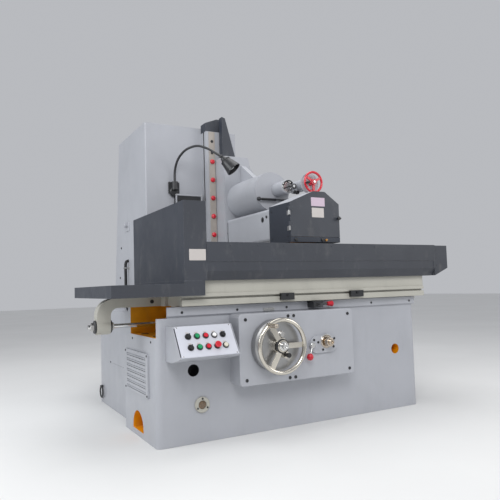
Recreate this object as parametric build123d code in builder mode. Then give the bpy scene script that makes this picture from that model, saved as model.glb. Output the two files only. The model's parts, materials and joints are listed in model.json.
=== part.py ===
"""Column-type surface grinder: bed, sliding table, cross-moving column and rising wheel head.

Millimetres. Origin on the floor under the middle of the front bed, +X along the table,
+Y towards the column, +Z up.
"""

from build123d import *
from math import cos, radians, sin
import os

# ---------------------------------------------------------------- driving dimensions
BED_LENGTH = 2150
BED_DEPTH = 708
BED_HEIGHT = 850
BED_CORNER = 40
BED_WALL = 28
REAR_BED_HEIGHT = 800

TABLE_LENGTH = 2060
TABLE_DEPTH = 800
TABLE_HEIGHT = 157
TABLE_SHIFT = 110
CHUCK_HEIGHT = 178

COLUMN_WIDTH = 802
COLUMN_DEPTH = 800
COLUMN_HEIGHT = 1576
COLUMN_SPLAY = 220
GUIDE_WIDTH = 284

WHEEL_RADIUS = 175
WHEEL_WIDTH = 50
WHEEL_DAYLIGHT = 52
BARREL_RADIUS = 155
SPINDLE_RADIUS = 35
PISTON_RADIUS = 45
ROD_RADIUS = 14
SCREW_RADIUS = 20
HANDWHEEL_RADIUS = 180
SHEET = 4

# ---------------------------------------------------------------- clearances
RUNNING = 0.05
SLIDING = 0.3
TABLE_GAP = 3
COLUMN_GAP = 3

# ---------------------------------------------------------------- bed levels and places
BED_LEFT = -BED_LENGTH / 2
BED_RIGHT = BED_LENGTH / 2
BED_FRONT = -BED_DEPTH / 2
BED_BACK = BED_DEPTH / 2
STRIP_HEIGHT = 60
STRIP_PROUD = 15
WAY_FLAT_Y = -262
WAY_FLAT_HALF = 45
WAY_FLAT_DEPTH = 18
WAY_VEE_Y = 250
WAY_VEE_HALF = 40
ROD_Y = -30
ROD_Z = BED_HEIGHT - 115
TUBE_WALL = 11
TUNNEL_HALF = PISTON_RADIUS + TUBE_WALL + 6
POCKET_LENGTH = 400
POCKET_FRONT = BED_FRONT + 17
POCKET_BACK = 170
POCKET_FLOOR = BED_HEIGHT - 185

# ---------------------------------------------------------------- table levels and places
TABLE_LEFT = TABLE_SHIFT - TABLE_LENGTH / 2
TABLE_RIGHT = TABLE_SHIFT + TABLE_LENGTH / 2
TABLE_FRONT = -TABLE_DEPTH / 2 - 9
TABLE_BACK = TABLE_FRONT + TABLE_DEPTH
TABLE_BOTTOM = BED_HEIGHT + TABLE_GAP
TABLE_TOP = TABLE_BOTTOM + TABLE_HEIGHT
RAIL_PROUD = 8
SLOT_Z = BED_HEIGHT + 50
SLOT_HALF = 7
SLOT_UNDERCUT = 13
SLOT_LIP = 12
SLOT_DEPTH = 22
CHUCK_TOP = TABLE_TOP + CHUCK_HEIGHT

# ---------------------------------------------------------------- splash guards
GUARD_FRONT = TABLE_FRONT - 52
GUARD_BACK = TABLE_BACK + 195
GUARD_TOP = TABLE_TOP + 238
GUARD_REAR_TOP = TABLE_TOP + 175
GUARD_FOLD = TABLE_TOP + 59
TALL_TOP = TABLE_TOP + 498
TALL_RETURN = 151
FLANGE = 12
TRAY_LEFT = TABLE_LEFT - 450
TRAY_RIGHT = TABLE_LEFT + 135
TRAY_BOTTOM = BED_HEIGHT + 67
TRAY_TOP = BED_HEIGHT + 143
RIGHT_SEAM = TABLE_RIGHT + 83
RIGHT_END = TABLE_RIGHT + 225

# ---------------------------------------------------------------- column and head levels
COLUMN_LEFT = -747
COLUMN_RIGHT = COLUMN_LEFT + COLUMN_WIDTH
COLUMN_FRONT = BED_BACK + 442
COLUMN_BACK = COLUMN_FRONT + COLUMN_DEPTH
COLUMN_BOTTOM = REAR_BED_HEIGHT + COLUMN_GAP
COLUMN_TOP = REAR_BED_HEIGHT + COLUMN_HEIGHT
GUIDE_LEFT = COLUMN_RIGHT - GUIDE_WIDTH
GUIDE_DEPTH = 100
GUIDE_FRONT = COLUMN_FRONT - GUIDE_DEPTH
GUIDE_TOP = COLUMN_TOP - 46
SCREW_X = GUIDE_LEFT + 184
SCREW_Y = GUIDE_FRONT + 40
CHANNEL_HALF = 32
CHANNEL_DEPTH = 80
RAIL_LEFT = GUIDE_LEFT + 24
RAIL_RIGHT = GUIDE_LEFT + 80
RAIL_PROUD_OF_GUIDE = 8

SPINDLE_X = 66
SPINDLE_Z = CHUCK_TOP + WHEEL_RADIUS + WHEEL_DAYLIGHT
SADDLE_LEFT = GUIDE_LEFT + 84
SADDLE_RIGHT = SPINDLE_X + 169
SADDLE_DEPTH = 168
SADDLE_BACK = GUIDE_FRONT - 2
SADDLE_FRONT = SADDLE_BACK - SADDLE_DEPTH
SADDLE_BOTTOM = SPINDLE_Z - 125
SADDLE_TOP = SPINDLE_Z + 665
BARREL_X = SPINDLE_X - 36
BARREL_Z = SPINDLE_Z + 285
BARREL_FRONT = 40
HOUSING_LEFT = SPINDLE_X - 191
HOUSING_RIGHT = SADDLE_RIGHT
HOUSING_TOP = SPINDLE_Z + 115
HOUSING_BOTTOM = SPINDLE_Z - 125
HOUSING_FRONT = -154

HOOD_LEFT = SPINDLE_X - 189
HOOD_RIGHT = SPINDLE_X + 232
HOOD_FRONT = GUARD_FRONT + 22
HOOD_BACK = HOUSING_FRONT - 2
HOOD_BOTTOM = SPINDLE_Z - 153
HOOD_SHOULDER = SPINDLE_Z + 125
HOOD_TOP = SPINDLE_Z + 210
HOOD_LIP = 38
DOOR_THICK = 6
WHEEL_BACK = HOOD_FRONT + 155

# ---------------------------------------------------------------- operator side
APRON_LEFT = -575
APRON_RIGHT = 337
APRON_BOTTOM = BED_HEIGHT - 515
APRON_TOP = BED_HEIGHT - STRIP_HEIGHT
APRON_FRONT = BED_FRONT - 140
APRON_WALL = 15
HANDWHEEL_X = -330
HANDWHEEL_Z = BED_HEIGHT - 268
RIM_Y = APRON_FRONT - 120
SHAFT_RADIUS = 20
CRANK_ANGLE = 125
LEVER_X = -35
LEVER_Z = BED_HEIGHT - 292
LEVER_BALL = 23
THROTTLE_X = 90
THROTTLE_Z = BED_HEIGHT - 278
REVERSE_X = 80
REVERSE_Y = BED_FRONT - 61
REVERSE_Z = BED_HEIGHT - 24

CONSOLE_LEFT = BED_LEFT + 63
CONSOLE_RIGHT = CONSOLE_LEFT + 392
CONSOLE_TOP = BED_HEIGHT - 113
CONSOLE_FOOT = BED_HEIGHT - 330
PANEL_TOP_OUT = 120
PANEL_FOOT_OUT = 240
PANEL_FOOT_Z = BED_HEIGHT - 292
PANEL_THICK = 4
OPERATOR_PITCH = 57
OPERATOR_FIRST_X = CONSOLE_LEFT + 80
OPERATOR_ROWS = (31, -43)
STEM_RADIUS = 8
CAP_RADIUS = 14
BEZEL_RADIUS = 19.5

# ---------------------------------------------------------------- holes, ways and covers of the bed
LIFT_RADIUS = 38
LIFT_DEPTH = 120
LIFT_Z = BED_HEIGHT - 400
LIFT_INSET = (243, 217)
CROSS_WAYS = (COLUMN_LEFT + 90, COLUMN_RIGHT - 90)
CROSS_HALF = 50
CROSS_WAY_DEPTH = 25
PANEL_Y = (BED_FRONT + 135, BED_FRONT + 628)
PANEL_Z = (BED_HEIGHT - 568, BED_HEIGHT - 292)
COVER_THICK = 12

# ---------------------------------------------------------------- console slope
PANEL_RUN = PANEL_FOOT_OUT - PANEL_TOP_OUT
PANEL_RISE = CONSOLE_TOP - PANEL_FOOT_Z
PANEL_LENGTH = (PANEL_RUN**2 + PANEL_RISE**2) ** 0.5
PANEL_NORMAL = (0, -PANEL_RISE / PANEL_LENGTH, PANEL_RUN / PANEL_LENGTH)
PANEL_MIDDLE_Y = BED_FRONT - (PANEL_TOP_OUT + PANEL_FOOT_OUT) / 2
PANEL_MIDDLE_Z = (CONSOLE_TOP + PANEL_FOOT_Z) / 2

# ---------------------------------------------------------------- table drive and chuck
CYLINDER_START = BED_LEFT + POCKET_LENGTH
CYLINDER_END = BED_RIGHT - 300
PISTON_X = 90
PISTON_LENGTH = 60
BOSS_X = (BED_LEFT - 285, BED_LEFT - 198)
CHUCK_INSET = 25

# ---------------------------------------------------------------- work lamp route
LAMP_X = -500
LAMP_Z = COLUMN_TOP - 540
LAMP_ROUTE = [
    (LAMP_X, COLUMN_FRONT - 34, LAMP_Z + 40),
    (LAMP_X, COLUMN_FRONT - 34, LAMP_Z + 140),
    (LAMP_X + 8, COLUMN_FRONT - 90, LAMP_Z + 226),
    (LAMP_X + 42, COLUMN_FRONT - 175, LAMP_Z + 289),
    (LAMP_X + 100, COLUMN_FRONT - 285, LAMP_Z + 306),
    (LAMP_X + 144, COLUMN_FRONT - 415, LAMP_Z + 252),
    (LAMP_X + 197, COLUMN_FRONT - 545, LAMP_Z + 160),
]
LAMP_TUBE = 10
LAMP_BALL = 14

# ---------------------------------------------------------------- spindle, hood and head controls
BEARING_OUTER = 65
STATOR_OUTER = 85
STATOR_INNER = 60
SPINDLE_REAR = SADDLE_FRONT - 36
BEARING_SPANS = ((HOUSING_FRONT + 24, HOUSING_FRONT + 74), (SADDLE_FRONT - 120, SADDLE_FRONT - 80))
STATOR_SPAN = (HOUSING_FRONT + 190, HOUSING_FRONT + 430)
HINGE_X = HOOD_LEFT - 9
HINGE_Y = HOOD_FRONT + 1
HINGE_SPANS = ((HOOD_BOTTOM + 80, HOOD_BOTTOM + 140), (HOOD_SHOULDER - 90, HOOD_SHOULDER - 30))
FEED_X = 75
FEED_Z = BARREL_Z + 15
HEAD_WHEEL_X = SPINDLE_X + 137
HEAD_WHEEL_Z = BARREL_Z + 29
HEAD_WHEEL_RADIUS = 84
HEAD_WHEEL_Y = BARREL_FRONT - 310
CLAMP_X = BARREL_X + 125
CLAMP_Y = BARREL_FRONT - 25
CLAMP_Z = BARREL_Z - 68

os.makedirs("parts", exist_ok=True)
ROTATION = {"x": (0, 90, 0), "y": (90, 0, 0), "z": (0, 0, 0)}


# ---------------------------------------------------------------- shared shapes
def write(part, label):
    """Label a finished piece and write it as its own file."""
    part.label = label
    export_step(part, f"parts/{label}.step")


def block(x_span, y_span, z_span, mode=Mode.ADD):
    """Box between two corners."""
    spans = (x_span, y_span, z_span)
    with Locations(tuple((low + high) / 2 for low, high in spans)):
        return Box(*[high - low for low, high in spans], mode=mode)


def bar(axis, at, radius, span, mode=Mode.ADD):
    """Round bar along an axis; at holds its two other coordinates."""
    middle = (span[0] + span[1]) / 2
    centre = {"x": (middle, *at), "y": (at[0], middle, at[1]), "z": (*at, middle)}[axis]
    with Locations(centre):
        return Cylinder(radius, span[1] - span[0], rotation=ROTATION[axis], mode=mode)


def ring(axis, at, outer, inner, span):
    """Round tube along an axis."""
    bar(axis, at, outer, span)
    bar(axis, at, inner, span, Mode.SUBTRACT)


def prism(axis, points, span, mode=Mode.ADD):
    """Straight-sided solid: an outline in the plane across an axis, carried along it."""
    plane = {"x": Plane.YZ, "y": Plane.XZ, "z": Plane.XY}[axis]
    start = {"x": span[0], "y": -span[1], "z": span[0]}[axis]
    with BuildSketch(plane.offset(start)) as outline:
        with BuildLine():
            Polyline(*points, close=True)
        make_face()
    extrude(outline.sketch, amount=span[1] - span[0], mode=mode)


def screw_heads(places, axis_out, radius, height):
    """Socket-head screws: a head with a hexagon recess at each place."""
    for place in places:
        plane = Plane(origin=place, z_dir=axis_out)
        with BuildSketch(plane) as head:
            Circle(radius)
        extrude(head.sketch, amount=height)
        with BuildSketch(plane.offset(height)) as socket:
            RegularPolygon(radius * 0.5, 6)
        extrude(socket.sketch, amount=-height * 0.6, mode=Mode.SUBTRACT)


# ---------------------------------------------------------------- bed
def vee(half, depth_at_top):
    """Outline points of a 90 degree vee hanging from a level."""
    return [
        (WAY_VEE_Y - half, depth_at_top),
        (WAY_VEE_Y + half, depth_at_top),
        (WAY_VEE_Y, depth_at_top - half),
    ]


def make_bed_casting():
    with BuildPart() as bed_casting:
        block((BED_LEFT, BED_RIGHT), (BED_FRONT, BED_BACK), (0, BED_HEIGHT))
        fillet(bed_casting.edges().filter_by(Axis.Z), BED_CORNER)
        cut_bed_bays()
        cut_bed_tunnel()
        cut_bed_ways()
        cut_bed_holes()
    write(bed_casting.part, "bed_casting")


def cut_bed_bays():
    """Closed oil and coolant bays between cross ribs, below the deck."""
    bays = 4
    first = BED_LEFT + 160
    pitch = (BED_RIGHT - BED_WALL - first) / bays
    for bay in range(bays):
        low = first + bay * pitch
        front = BED_FRONT + (BED_WALL if 0 < bay < bays - 1 else 170)
        block(
            (low, low + pitch - BED_WALL),
            (front, BED_BACK - BED_WALL),
            (BED_WALL, POCKET_FLOOR - 60),
            Mode.SUBTRACT,
        )


def cut_bed_tunnel():
    """Open pocket for the arm at the left end and the tunnel for the cylinder."""
    pocket_end = BED_LEFT + POCKET_LENGTH
    high = BED_HEIGHT + 1
    block((BED_LEFT - 1, pocket_end), (POCKET_FRONT, POCKET_BACK), (POCKET_FLOOR, high), Mode.SUBTRACT)
    notch = (BED_LEFT - 1, BED_LEFT + 77)
    block(notch, (BED_FRONT - 1, POCKET_FRONT), (BED_HEIGHT - 68, high), Mode.SUBTRACT)
    block(
        (pocket_end, BED_RIGHT - 300),
        (ROD_Y - TUNNEL_HALF, ROD_Y + TUNNEL_HALF),
        (ROD_Z - TUNNEL_HALF, ROD_Z + TUNNEL_HALF),
        Mode.SUBTRACT,
    )


def cut_bed_ways():
    """Flat way at the front and vee way at the back."""
    block(
        (BED_LEFT - 1, BED_RIGHT + 1),
        (WAY_FLAT_Y - WAY_FLAT_HALF, WAY_FLAT_Y + WAY_FLAT_HALF),
        (BED_HEIGHT - WAY_FLAT_DEPTH, BED_HEIGHT + 1),
        Mode.SUBTRACT,
    )
    prism("x", vee(WAY_VEE_HALF + 1, BED_HEIGHT + 1), (BED_LEFT - 1, BED_RIGHT + 1), Mode.SUBTRACT)


def cut_bed_holes():
    """Lifting-bar holes in the front, and the arched recess at the foot of the left end."""
    for x in (BED_LEFT + LIFT_INSET[0], BED_RIGHT - LIFT_INSET[1]):
        bar("y", (x, LIFT_Z), LIFT_RADIUS, (BED_FRONT - 1, BED_FRONT + LIFT_DEPTH), Mode.SUBTRACT)
    half, floor = 113, 38
    middle = BED_FRONT + 382
    recess = (BED_LEFT - 1, BED_LEFT + 110)
    block(recess, (middle - half, middle + half), (floor, floor + 15), Mode.SUBTRACT)
    with BuildSketch(Plane.YZ.offset(recess[0])) as arch:
        with Locations((middle, floor + 15)):
            Circle(half)
        with Locations((middle, floor + 15 - half)):
            Rectangle(2 * half, 2 * half, mode=Mode.SUBTRACT)
    extrude(arch.sketch, amount=recess[1] - recess[0], mode=Mode.SUBTRACT)


def make_rear_bed():
    """Base for the column, bolted behind the bed: a wide front part and a narrower tail."""
    wide = (-1005, 325)
    tail = (COLUMN_LEFT - 28, COLUMN_RIGHT + 30)
    step = BED_BACK + 1012
    end = step + 700
    with BuildPart() as rear_bed:
        block(wide, (BED_BACK, step), (0, REAR_BED_HEIGHT))
        block(tail, (step, end), (0, REAR_BED_HEIGHT))
        fillet(rear_bed.edges().filter_by(Axis.Z).sort_by(Axis.Y)[2:], BED_CORNER)
        inner = (wide[0] + BED_WALL, wide[1] - BED_WALL)
        top = REAR_BED_HEIGHT - 90
        block(inner, (BED_BACK + BED_WALL, BED_BACK + 490), (BED_WALL, top), Mode.SUBTRACT)
        block(inner, (BED_BACK + 520, step - BED_WALL), (BED_WALL, top), Mode.SUBTRACT)
        inner = (tail[0] + BED_WALL, tail[1] - BED_WALL)
        block(inner, (step + BED_WALL, end - BED_WALL), (BED_WALL, top), Mode.SUBTRACT)
        for x in CROSS_WAYS:
            block(
                (x - CROSS_HALF, x + CROSS_HALF),
                (BED_BACK + 60, end + 1),
                (REAR_BED_HEIGHT - CROSS_WAY_DEPTH, REAR_BED_HEIGHT + 1),
                Mode.SUBTRACT,
            )
    write(rear_bed.part, "rear_bed")


def make_front_strip():
    span = (BED_LEFT + 71, BED_RIGHT - 5)
    low, high = BED_HEIGHT - STRIP_HEIGHT, BED_HEIGHT
    outline = [
        (BED_FRONT, low),
        (BED_FRONT - STRIP_PROUD + 6, low),
        (BED_FRONT - STRIP_PROUD, low + 6),
        (BED_FRONT - STRIP_PROUD, high - 2),
        (BED_FRONT - STRIP_PROUD + 2, high),
        (BED_FRONT, high),
    ]
    with BuildPart() as front_strip:
        prism("x", outline, span)
    write(front_strip.part, "front_strip")


def make_end_access_panel():
    """Louvred cover on the left end of the bed."""
    louvres = 7
    pitch = (PANEL_Z[1] - PANEL_Z[0] - 60) / (louvres - 1)
    across = (PANEL_Y[0] + 40, PANEL_Y[1] - 40)
    outside = BED_LEFT - COVER_THICK
    with BuildPart() as end_access_panel:
        block((outside, BED_LEFT), PANEL_Y, PANEL_Z)
        fillet(end_access_panel.edges().filter_by(Axis.X), 10)
        for louvre in range(louvres):
            z = PANEL_Z[0] + 30 + louvre * pitch
            block((outside - 1, BED_LEFT - 3), across, (z - 12, z + 6), Mode.SUBTRACT)
            slat = [(outside, z - 4), (BED_LEFT - 3, z + 6), (BED_LEFT - 3, z + 2), (outside, z - 8)]
            prism("y", slat, across)
    write(end_access_panel.part, "end_access_panel")


def make_apron():
    """Hollow cover of the feed gears, with the bush of the handwheel shaft."""
    with BuildPart() as apron:
        block((APRON_LEFT, APRON_RIGHT), (APRON_FRONT, BED_FRONT), (APRON_BOTTOM, APRON_TOP))
        fillet(apron.edges().filter_by(Axis.Y), 26)
        fillet(apron.faces().sort_by(Axis.Y)[0].edges(), 7)
        block(
            (APRON_LEFT + 30, APRON_RIGHT - 30),
            (APRON_FRONT + APRON_WALL, BED_FRONT - APRON_WALL),
            (APRON_BOTTOM + 30, APRON_TOP - 30),
            Mode.SUBTRACT,
        )
        bar("y", (HANDWHEEL_X, HANDWHEEL_Z), 44, (APRON_FRONT - 8, APRON_FRONT + 60))
        bore = (APRON_FRONT - 9, BED_FRONT - APRON_WALL)
        bar("y", (HANDWHEEL_X, HANDWHEEL_Z), SHAFT_RADIUS + RUNNING, bore, Mode.SUBTRACT)
        with BuildSketch(Plane.XZ.offset(-APRON_FRONT)) as flange:
            with Locations((70, BED_HEIGHT - 292)):
                SlotOverall(231, 117)
        extrude(flange.sketch, amount=12)
    write(apron.part, "apron")


# ---------------------------------------------------------------- console


def panel_plane(x, up_slope=0, lift=0.0):
    """Plane on the inclined console face: its normal points out at the operator."""
    slope = (0, PANEL_RUN / PANEL_LENGTH, PANEL_RISE / PANEL_LENGTH)
    origin = [x] + [
        middle + up_slope * along + lift * out
        for middle, along, out in zip((PANEL_MIDDLE_Y, PANEL_MIDDLE_Z), slope[1:], PANEL_NORMAL[1:])
    ]
    return Plane(origin=tuple(origin), x_dir=(1, 0, 0), z_dir=PANEL_NORMAL)


def operator_plane(column, row, lift=0.0):
    """Plane of one operator hole, on the outer face of the panel."""
    x = OPERATOR_FIRST_X + column * OPERATOR_PITCH
    return panel_plane(x, OPERATOR_ROWS[row], PANEL_THICK + lift)


def disc(plane, radius, height, mode=Mode.ADD):
    """Cylinder standing on a plane."""
    with BuildSketch(plane) as circle:
        Circle(radius)
    extrude(circle.sketch, amount=height, mode=mode)


def console_outline(inset):
    """Side outline of the console, shrunk by an inset."""
    return [
        (BED_FRONT - inset, CONSOLE_TOP - inset),
        (BED_FRONT - PANEL_TOP_OUT, CONSOLE_TOP - inset),
        (BED_FRONT - PANEL_FOOT_OUT + inset * 0.6, PANEL_FOOT_Z),
        (BED_FRONT - PANEL_FOOT_OUT + 22 + inset * 0.6, PANEL_FOOT_Z - 12),
        (BED_FRONT - 92, CONSOLE_FOOT + inset),
        (BED_FRONT - inset, CONSOLE_FOOT + inset),
    ]


def make_console():
    """Folded housing, open at its inclined front, closed by the operator panel."""
    wall = 5
    with BuildPart() as console_housing:
        prism("x", console_outline(0), (CONSOLE_LEFT, CONSOLE_RIGHT))
        inner = (CONSOLE_LEFT + wall, CONSOLE_RIGHT - wall)
        prism("x", console_outline(wall), inner, Mode.SUBTRACT)
        with BuildSketch(panel_plane((CONSOLE_LEFT + CONSOLE_RIGHT) / 2, 0, 1)) as mouth:
            Rectangle(CONSOLE_RIGHT - CONSOLE_LEFT - 2 * wall, PANEL_LENGTH - 24)
        extrude(mouth.sketch, amount=-12, mode=Mode.SUBTRACT)
    write(console_housing.part, "console_housing")
    with BuildPart() as console_panel:
        with BuildSketch(panel_plane((CONSOLE_LEFT + CONSOLE_RIGHT) / 2)) as plate:
            Rectangle(CONSOLE_RIGHT - CONSOLE_LEFT - 20, PANEL_LENGTH - 6)
            fillet(plate.vertices(), 6)
        extrude(plate.sketch, amount=PANEL_THICK)
        for column in range(5):
            for row in range(2):
                hole = operator_plane(column, row, 1)
                disc(hole, STEM_RADIUS + SLIDING, -PANEL_THICK - 2, Mode.SUBTRACT)
    write(console_panel.part, "console_panel")
    with BuildPart() as operator_bezels:
        for column in range(5):
            for row in range(2):
                disc(operator_plane(column, row), BEZEL_RADIUS, 7)
                disc(operator_plane(column, row), CAP_RADIUS + 0.5, 7, Mode.SUBTRACT)
    write(operator_bezels.part, "operator_bezels")


def make_push_button(name, column, row, cap=CAP_RADIUS, rise=14.0):
    """Round cap on a stem; the cap clears the panel by more than its travel."""
    with BuildPart() as button:
        disc(operator_plane(column, row, -22), STEM_RADIUS, 28)
        disc(operator_plane(column, row, 5.5), CAP_RADIUS, rise - 5.5)
        if cap > CAP_RADIUS:
            disc(operator_plane(column, row, rise), cap, 10)
            fillet(button.faces().sort_by(Axis.Y)[0].edges(), 4)
        else:
            fillet(button.faces().sort_by(Axis.Y)[0].edges(), 1.5)
    write(button.part, name)


def make_turn_switch(name, column, row):
    """Rotary switch: a round knob with a raised grip bar across it."""
    with BuildPart() as switch:
        disc(operator_plane(column, row, -22), STEM_RADIUS, 24)
        disc(operator_plane(column, row, 1), CAP_RADIUS, 9)
        with BuildSketch(operator_plane(column, row, 10)) as grip:
            SlotOverall(2 * CAP_RADIUS + 2, 8, rotation=60)
        extrude(grip.sketch, amount=12)
    write(switch.part, name)


def make_operators():
    make_turn_switch("selector_switch_upper", 0, 0)
    make_turn_switch("selector_switch_lower", 0, 1)
    make_push_button("start_button_upper", 1, 0)
    make_push_button("start_button_lower", 1, 1)
    make_push_button("stop_button_upper", 2, 0)
    make_push_button("stop_button_lower", 2, 1)
    make_push_button("auxiliary_button", 4, 1)
    make_push_button("emergency_stop", 3, 1, cap=20, rise=20.0)
    make_turn_switch("key_switch", 4, 0)


# ---------------------------------------------------------------- hydraulic drive


def make_hydraulic_drive():
    with BuildPart() as hydraulic_cylinder:
        ends = ((CYLINDER_START, CYLINDER_START + 30), (CYLINDER_END - 30, CYLINDER_END))
        for span in ends:
            square = (-TUNNEL_HALF, TUNNEL_HALF)
            block(span, [ROD_Y + s for s in square], [ROD_Z + s for s in square])
        bar("x", (ROD_Y, ROD_Z), PISTON_RADIUS + TUBE_WALL, (CYLINDER_START, CYLINDER_END))
        bore = (CYLINDER_START + 30, CYLINDER_END - 30)
        bar("x", (ROD_Y, ROD_Z), PISTON_RADIUS + RUNNING, bore, Mode.SUBTRACT)
        gland = (CYLINDER_START - 1, CYLINDER_START + 31)
        bar("x", (ROD_Y, ROD_Z), ROD_RADIUS + RUNNING, gland, Mode.SUBTRACT)
    write(hydraulic_cylinder.part, "hydraulic_cylinder")
    with BuildPart() as piston_rod:
        bar("x", (ROD_Y, ROD_Z), ROD_RADIUS, (BOSS_X[0] - 50, PISTON_X))
        piston = (PISTON_X - PISTON_LENGTH / 2, PISTON_X + PISTON_LENGTH / 2)
        bar("x", (ROD_Y, ROD_Z), PISTON_RADIUS, piston)
    write(piston_rod.part, "piston_rod")


def make_arm_bracket():
    """Cast arm from the table's left end down to the piston rod."""
    top, low = BED_HEIGHT + 62, BED_HEIGHT + 2
    width = (ROD_Y - 42, ROD_Y + 42)
    outer, inner = BOSS_X
    with BuildPart() as arm_bracket:
        with BuildSketch(Plane.XZ.offset(-width[1])) as outline:
            with BuildLine():
                shoulder = Line((TABLE_LEFT - 18, top), (outer + 110, top))
                Line(shoulder @ 0, (TABLE_LEFT - 18, low))
                underside = Line((TABLE_LEFT - 18, low), (inner + 48, low))
                TangentArc(underside @ 1, (inner, low - 45), tangent=(-1, 0))
                Line((inner, low - 45), (inner, ROD_Z))
                Line((inner, ROD_Z), (outer, ROD_Z))
                Line((outer, ROD_Z), (outer, low - 48))
                TangentArc((outer, low - 48), (outer + 110, top), tangent=(0, 1))
            make_face()
        extrude(outline.sketch, amount=width[1] - width[0])
        bar("x", (ROD_Y, ROD_Z), 50, BOSS_X)
        block((TABLE_LEFT - 18, TABLE_LEFT), (ROD_Y - 130, ROD_Y + 130), (low, top))
        bar("x", (ROD_Y, ROD_Z), ROD_RADIUS + RUNNING, (outer - 1, inner + 1), Mode.SUBTRACT)
    write(arm_bracket.part, "arm_bracket")


# ---------------------------------------------------------------- table
def make_table_casting():
    ends = (TABLE_LEFT, TABLE_RIGHT)
    face = TABLE_FRONT + RAIL_PROUD
    rail_top = BED_HEIGHT + 80
    lip = TABLE_FRONT + SLOT_LIP
    with BuildPart() as table_casting:
        block(ends, (face, TABLE_BACK), (TABLE_BOTTOM, TABLE_TOP))
        block(ends, (TABLE_FRONT, face), (TABLE_BOTTOM, rail_top))
        mouth = (SLOT_Z - SLOT_HALF, SLOT_Z + SLOT_HALF)
        block(ends, (TABLE_FRONT - 1, lip), mouth, Mode.SUBTRACT)
        undercut = (SLOT_Z - SLOT_UNDERCUT, SLOT_Z + SLOT_UNDERCUT)
        block(ends, (lip, TABLE_FRONT + SLOT_DEPTH), undercut, Mode.SUBTRACT)
        flat = (WAY_FLAT_Y - WAY_FLAT_HALF + SLIDING, WAY_FLAT_Y + WAY_FLAT_HALF - SLIDING)
        block(ends, flat, (BED_HEIGHT - WAY_FLAT_DEPTH + SLIDING, TABLE_BOTTOM))
        ridge_half = WAY_VEE_HALF + TABLE_GAP - 2 * SLIDING
        prism("x", vee(ridge_half, TABLE_BOTTOM), ends)
    write(table_casting.part, "table_casting")


def make_magnetic_chuck():
    """Long magnetic chuck with its pole grooves across the top face."""
    x_span = (TABLE_LEFT + 190, TABLE_RIGHT - 20)
    y_span = (TABLE_FRONT + CHUCK_INSET, TABLE_BACK - CHUCK_INSET)
    poles = 18
    pitch = (x_span[1] - x_span[0] - 80) / poles
    with BuildPart() as magnetic_chuck:
        block(x_span, y_span, (TABLE_TOP, CHUCK_TOP))
        for pole in range(poles + 1):
            x = x_span[0] + 40 + pole * pitch
            groove = (CHUCK_TOP - 2, CHUCK_TOP + 1)
            block((x - 2, x + 2), (y_span[0] + 30, y_span[1] - 30), groove, Mode.SUBTRACT)
    write(magnetic_chuck.part, "magnetic_chuck")


def make_trip_dog(name, x_span):
    """Reversing stop: a block with a T-nut held in the table's front slot."""
    with BuildPart() as dog:
        block(x_span, (TABLE_FRONT - 25, TABLE_FRONT - SLIDING), (SLOT_Z - 33, SLOT_Z + 14))
        fillet(dog.edges().filter_by(Axis.Y), 4)
        middle = (x_span[0] + x_span[1]) / 2
        nut = (middle - 30, middle + 30)
        lip = TABLE_FRONT + SLOT_LIP
        neck = (SLOT_Z - SLOT_HALF + 1, SLOT_Z + SLOT_HALF - 1)
        block(nut, (TABLE_FRONT - 5, lip + 2), neck)
        head = (SLOT_Z - SLOT_UNDERCUT + 1, SLOT_Z + SLOT_UNDERCUT - 1)
        block(nut, (lip + SLIDING, TABLE_FRONT + SLOT_DEPTH - 1), head)
        screw_heads([(middle, TABLE_FRONT - 25, SLOT_Z)], (0, -1, 0), 9, 9)
    write(dog.part, name)


# ---------------------------------------------------------------- guards
def guard_profile(side, top):
    """Wall folded out of one long edge of the table: side is -1 in front, 1 behind."""
    edge = TABLE_FRONT if side < 0 else TABLE_BACK
    wall = GUARD_FRONT if side < 0 else GUARD_BACK
    inward = -side * SHEET
    start = edge - side * CHUCK_INSET
    knee = wall - side * 30 if side < 0 else wall - 60
    return [
        (start, TABLE_TOP),
        (edge + side * 10, TABLE_TOP),
        (knee, TABLE_TOP),
        (wall, GUARD_FOLD),
        (wall, top),
        (wall + inward, top),
        (wall + inward, GUARD_FOLD + 2),
        (knee + inward * 0.5, TABLE_TOP + SHEET),
        (start, TABLE_TOP + SHEET),
    ]


def make_guards():
    long_span = (TABLE_LEFT + TALL_RETURN, RIGHT_SEAM)
    with BuildPart() as front_splash_guard:
        prism("x", guard_profile(-1, GUARD_TOP), long_span)
        hem = (GUARD_FRONT - 3, GUARD_FRONT)
        block(long_span, hem, (GUARD_FOLD + 59, GUARD_TOP))
        block(long_span, (GUARD_FRONT - 3, GUARD_FRONT + FLANGE), (GUARD_TOP, GUARD_TOP + SHEET))
    write(front_splash_guard.part, "front_splash_guard")
    with BuildPart() as rear_splash_guard:
        rear_span = (TABLE_LEFT + SHEET, RIGHT_SEAM)
        prism("x", guard_profile(1, GUARD_REAR_TOP), rear_span)
    write(rear_splash_guard.part, "rear_splash_guard")
    make_right_end_guard()
    make_tall_end_guard()
    make_end_tray()


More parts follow.
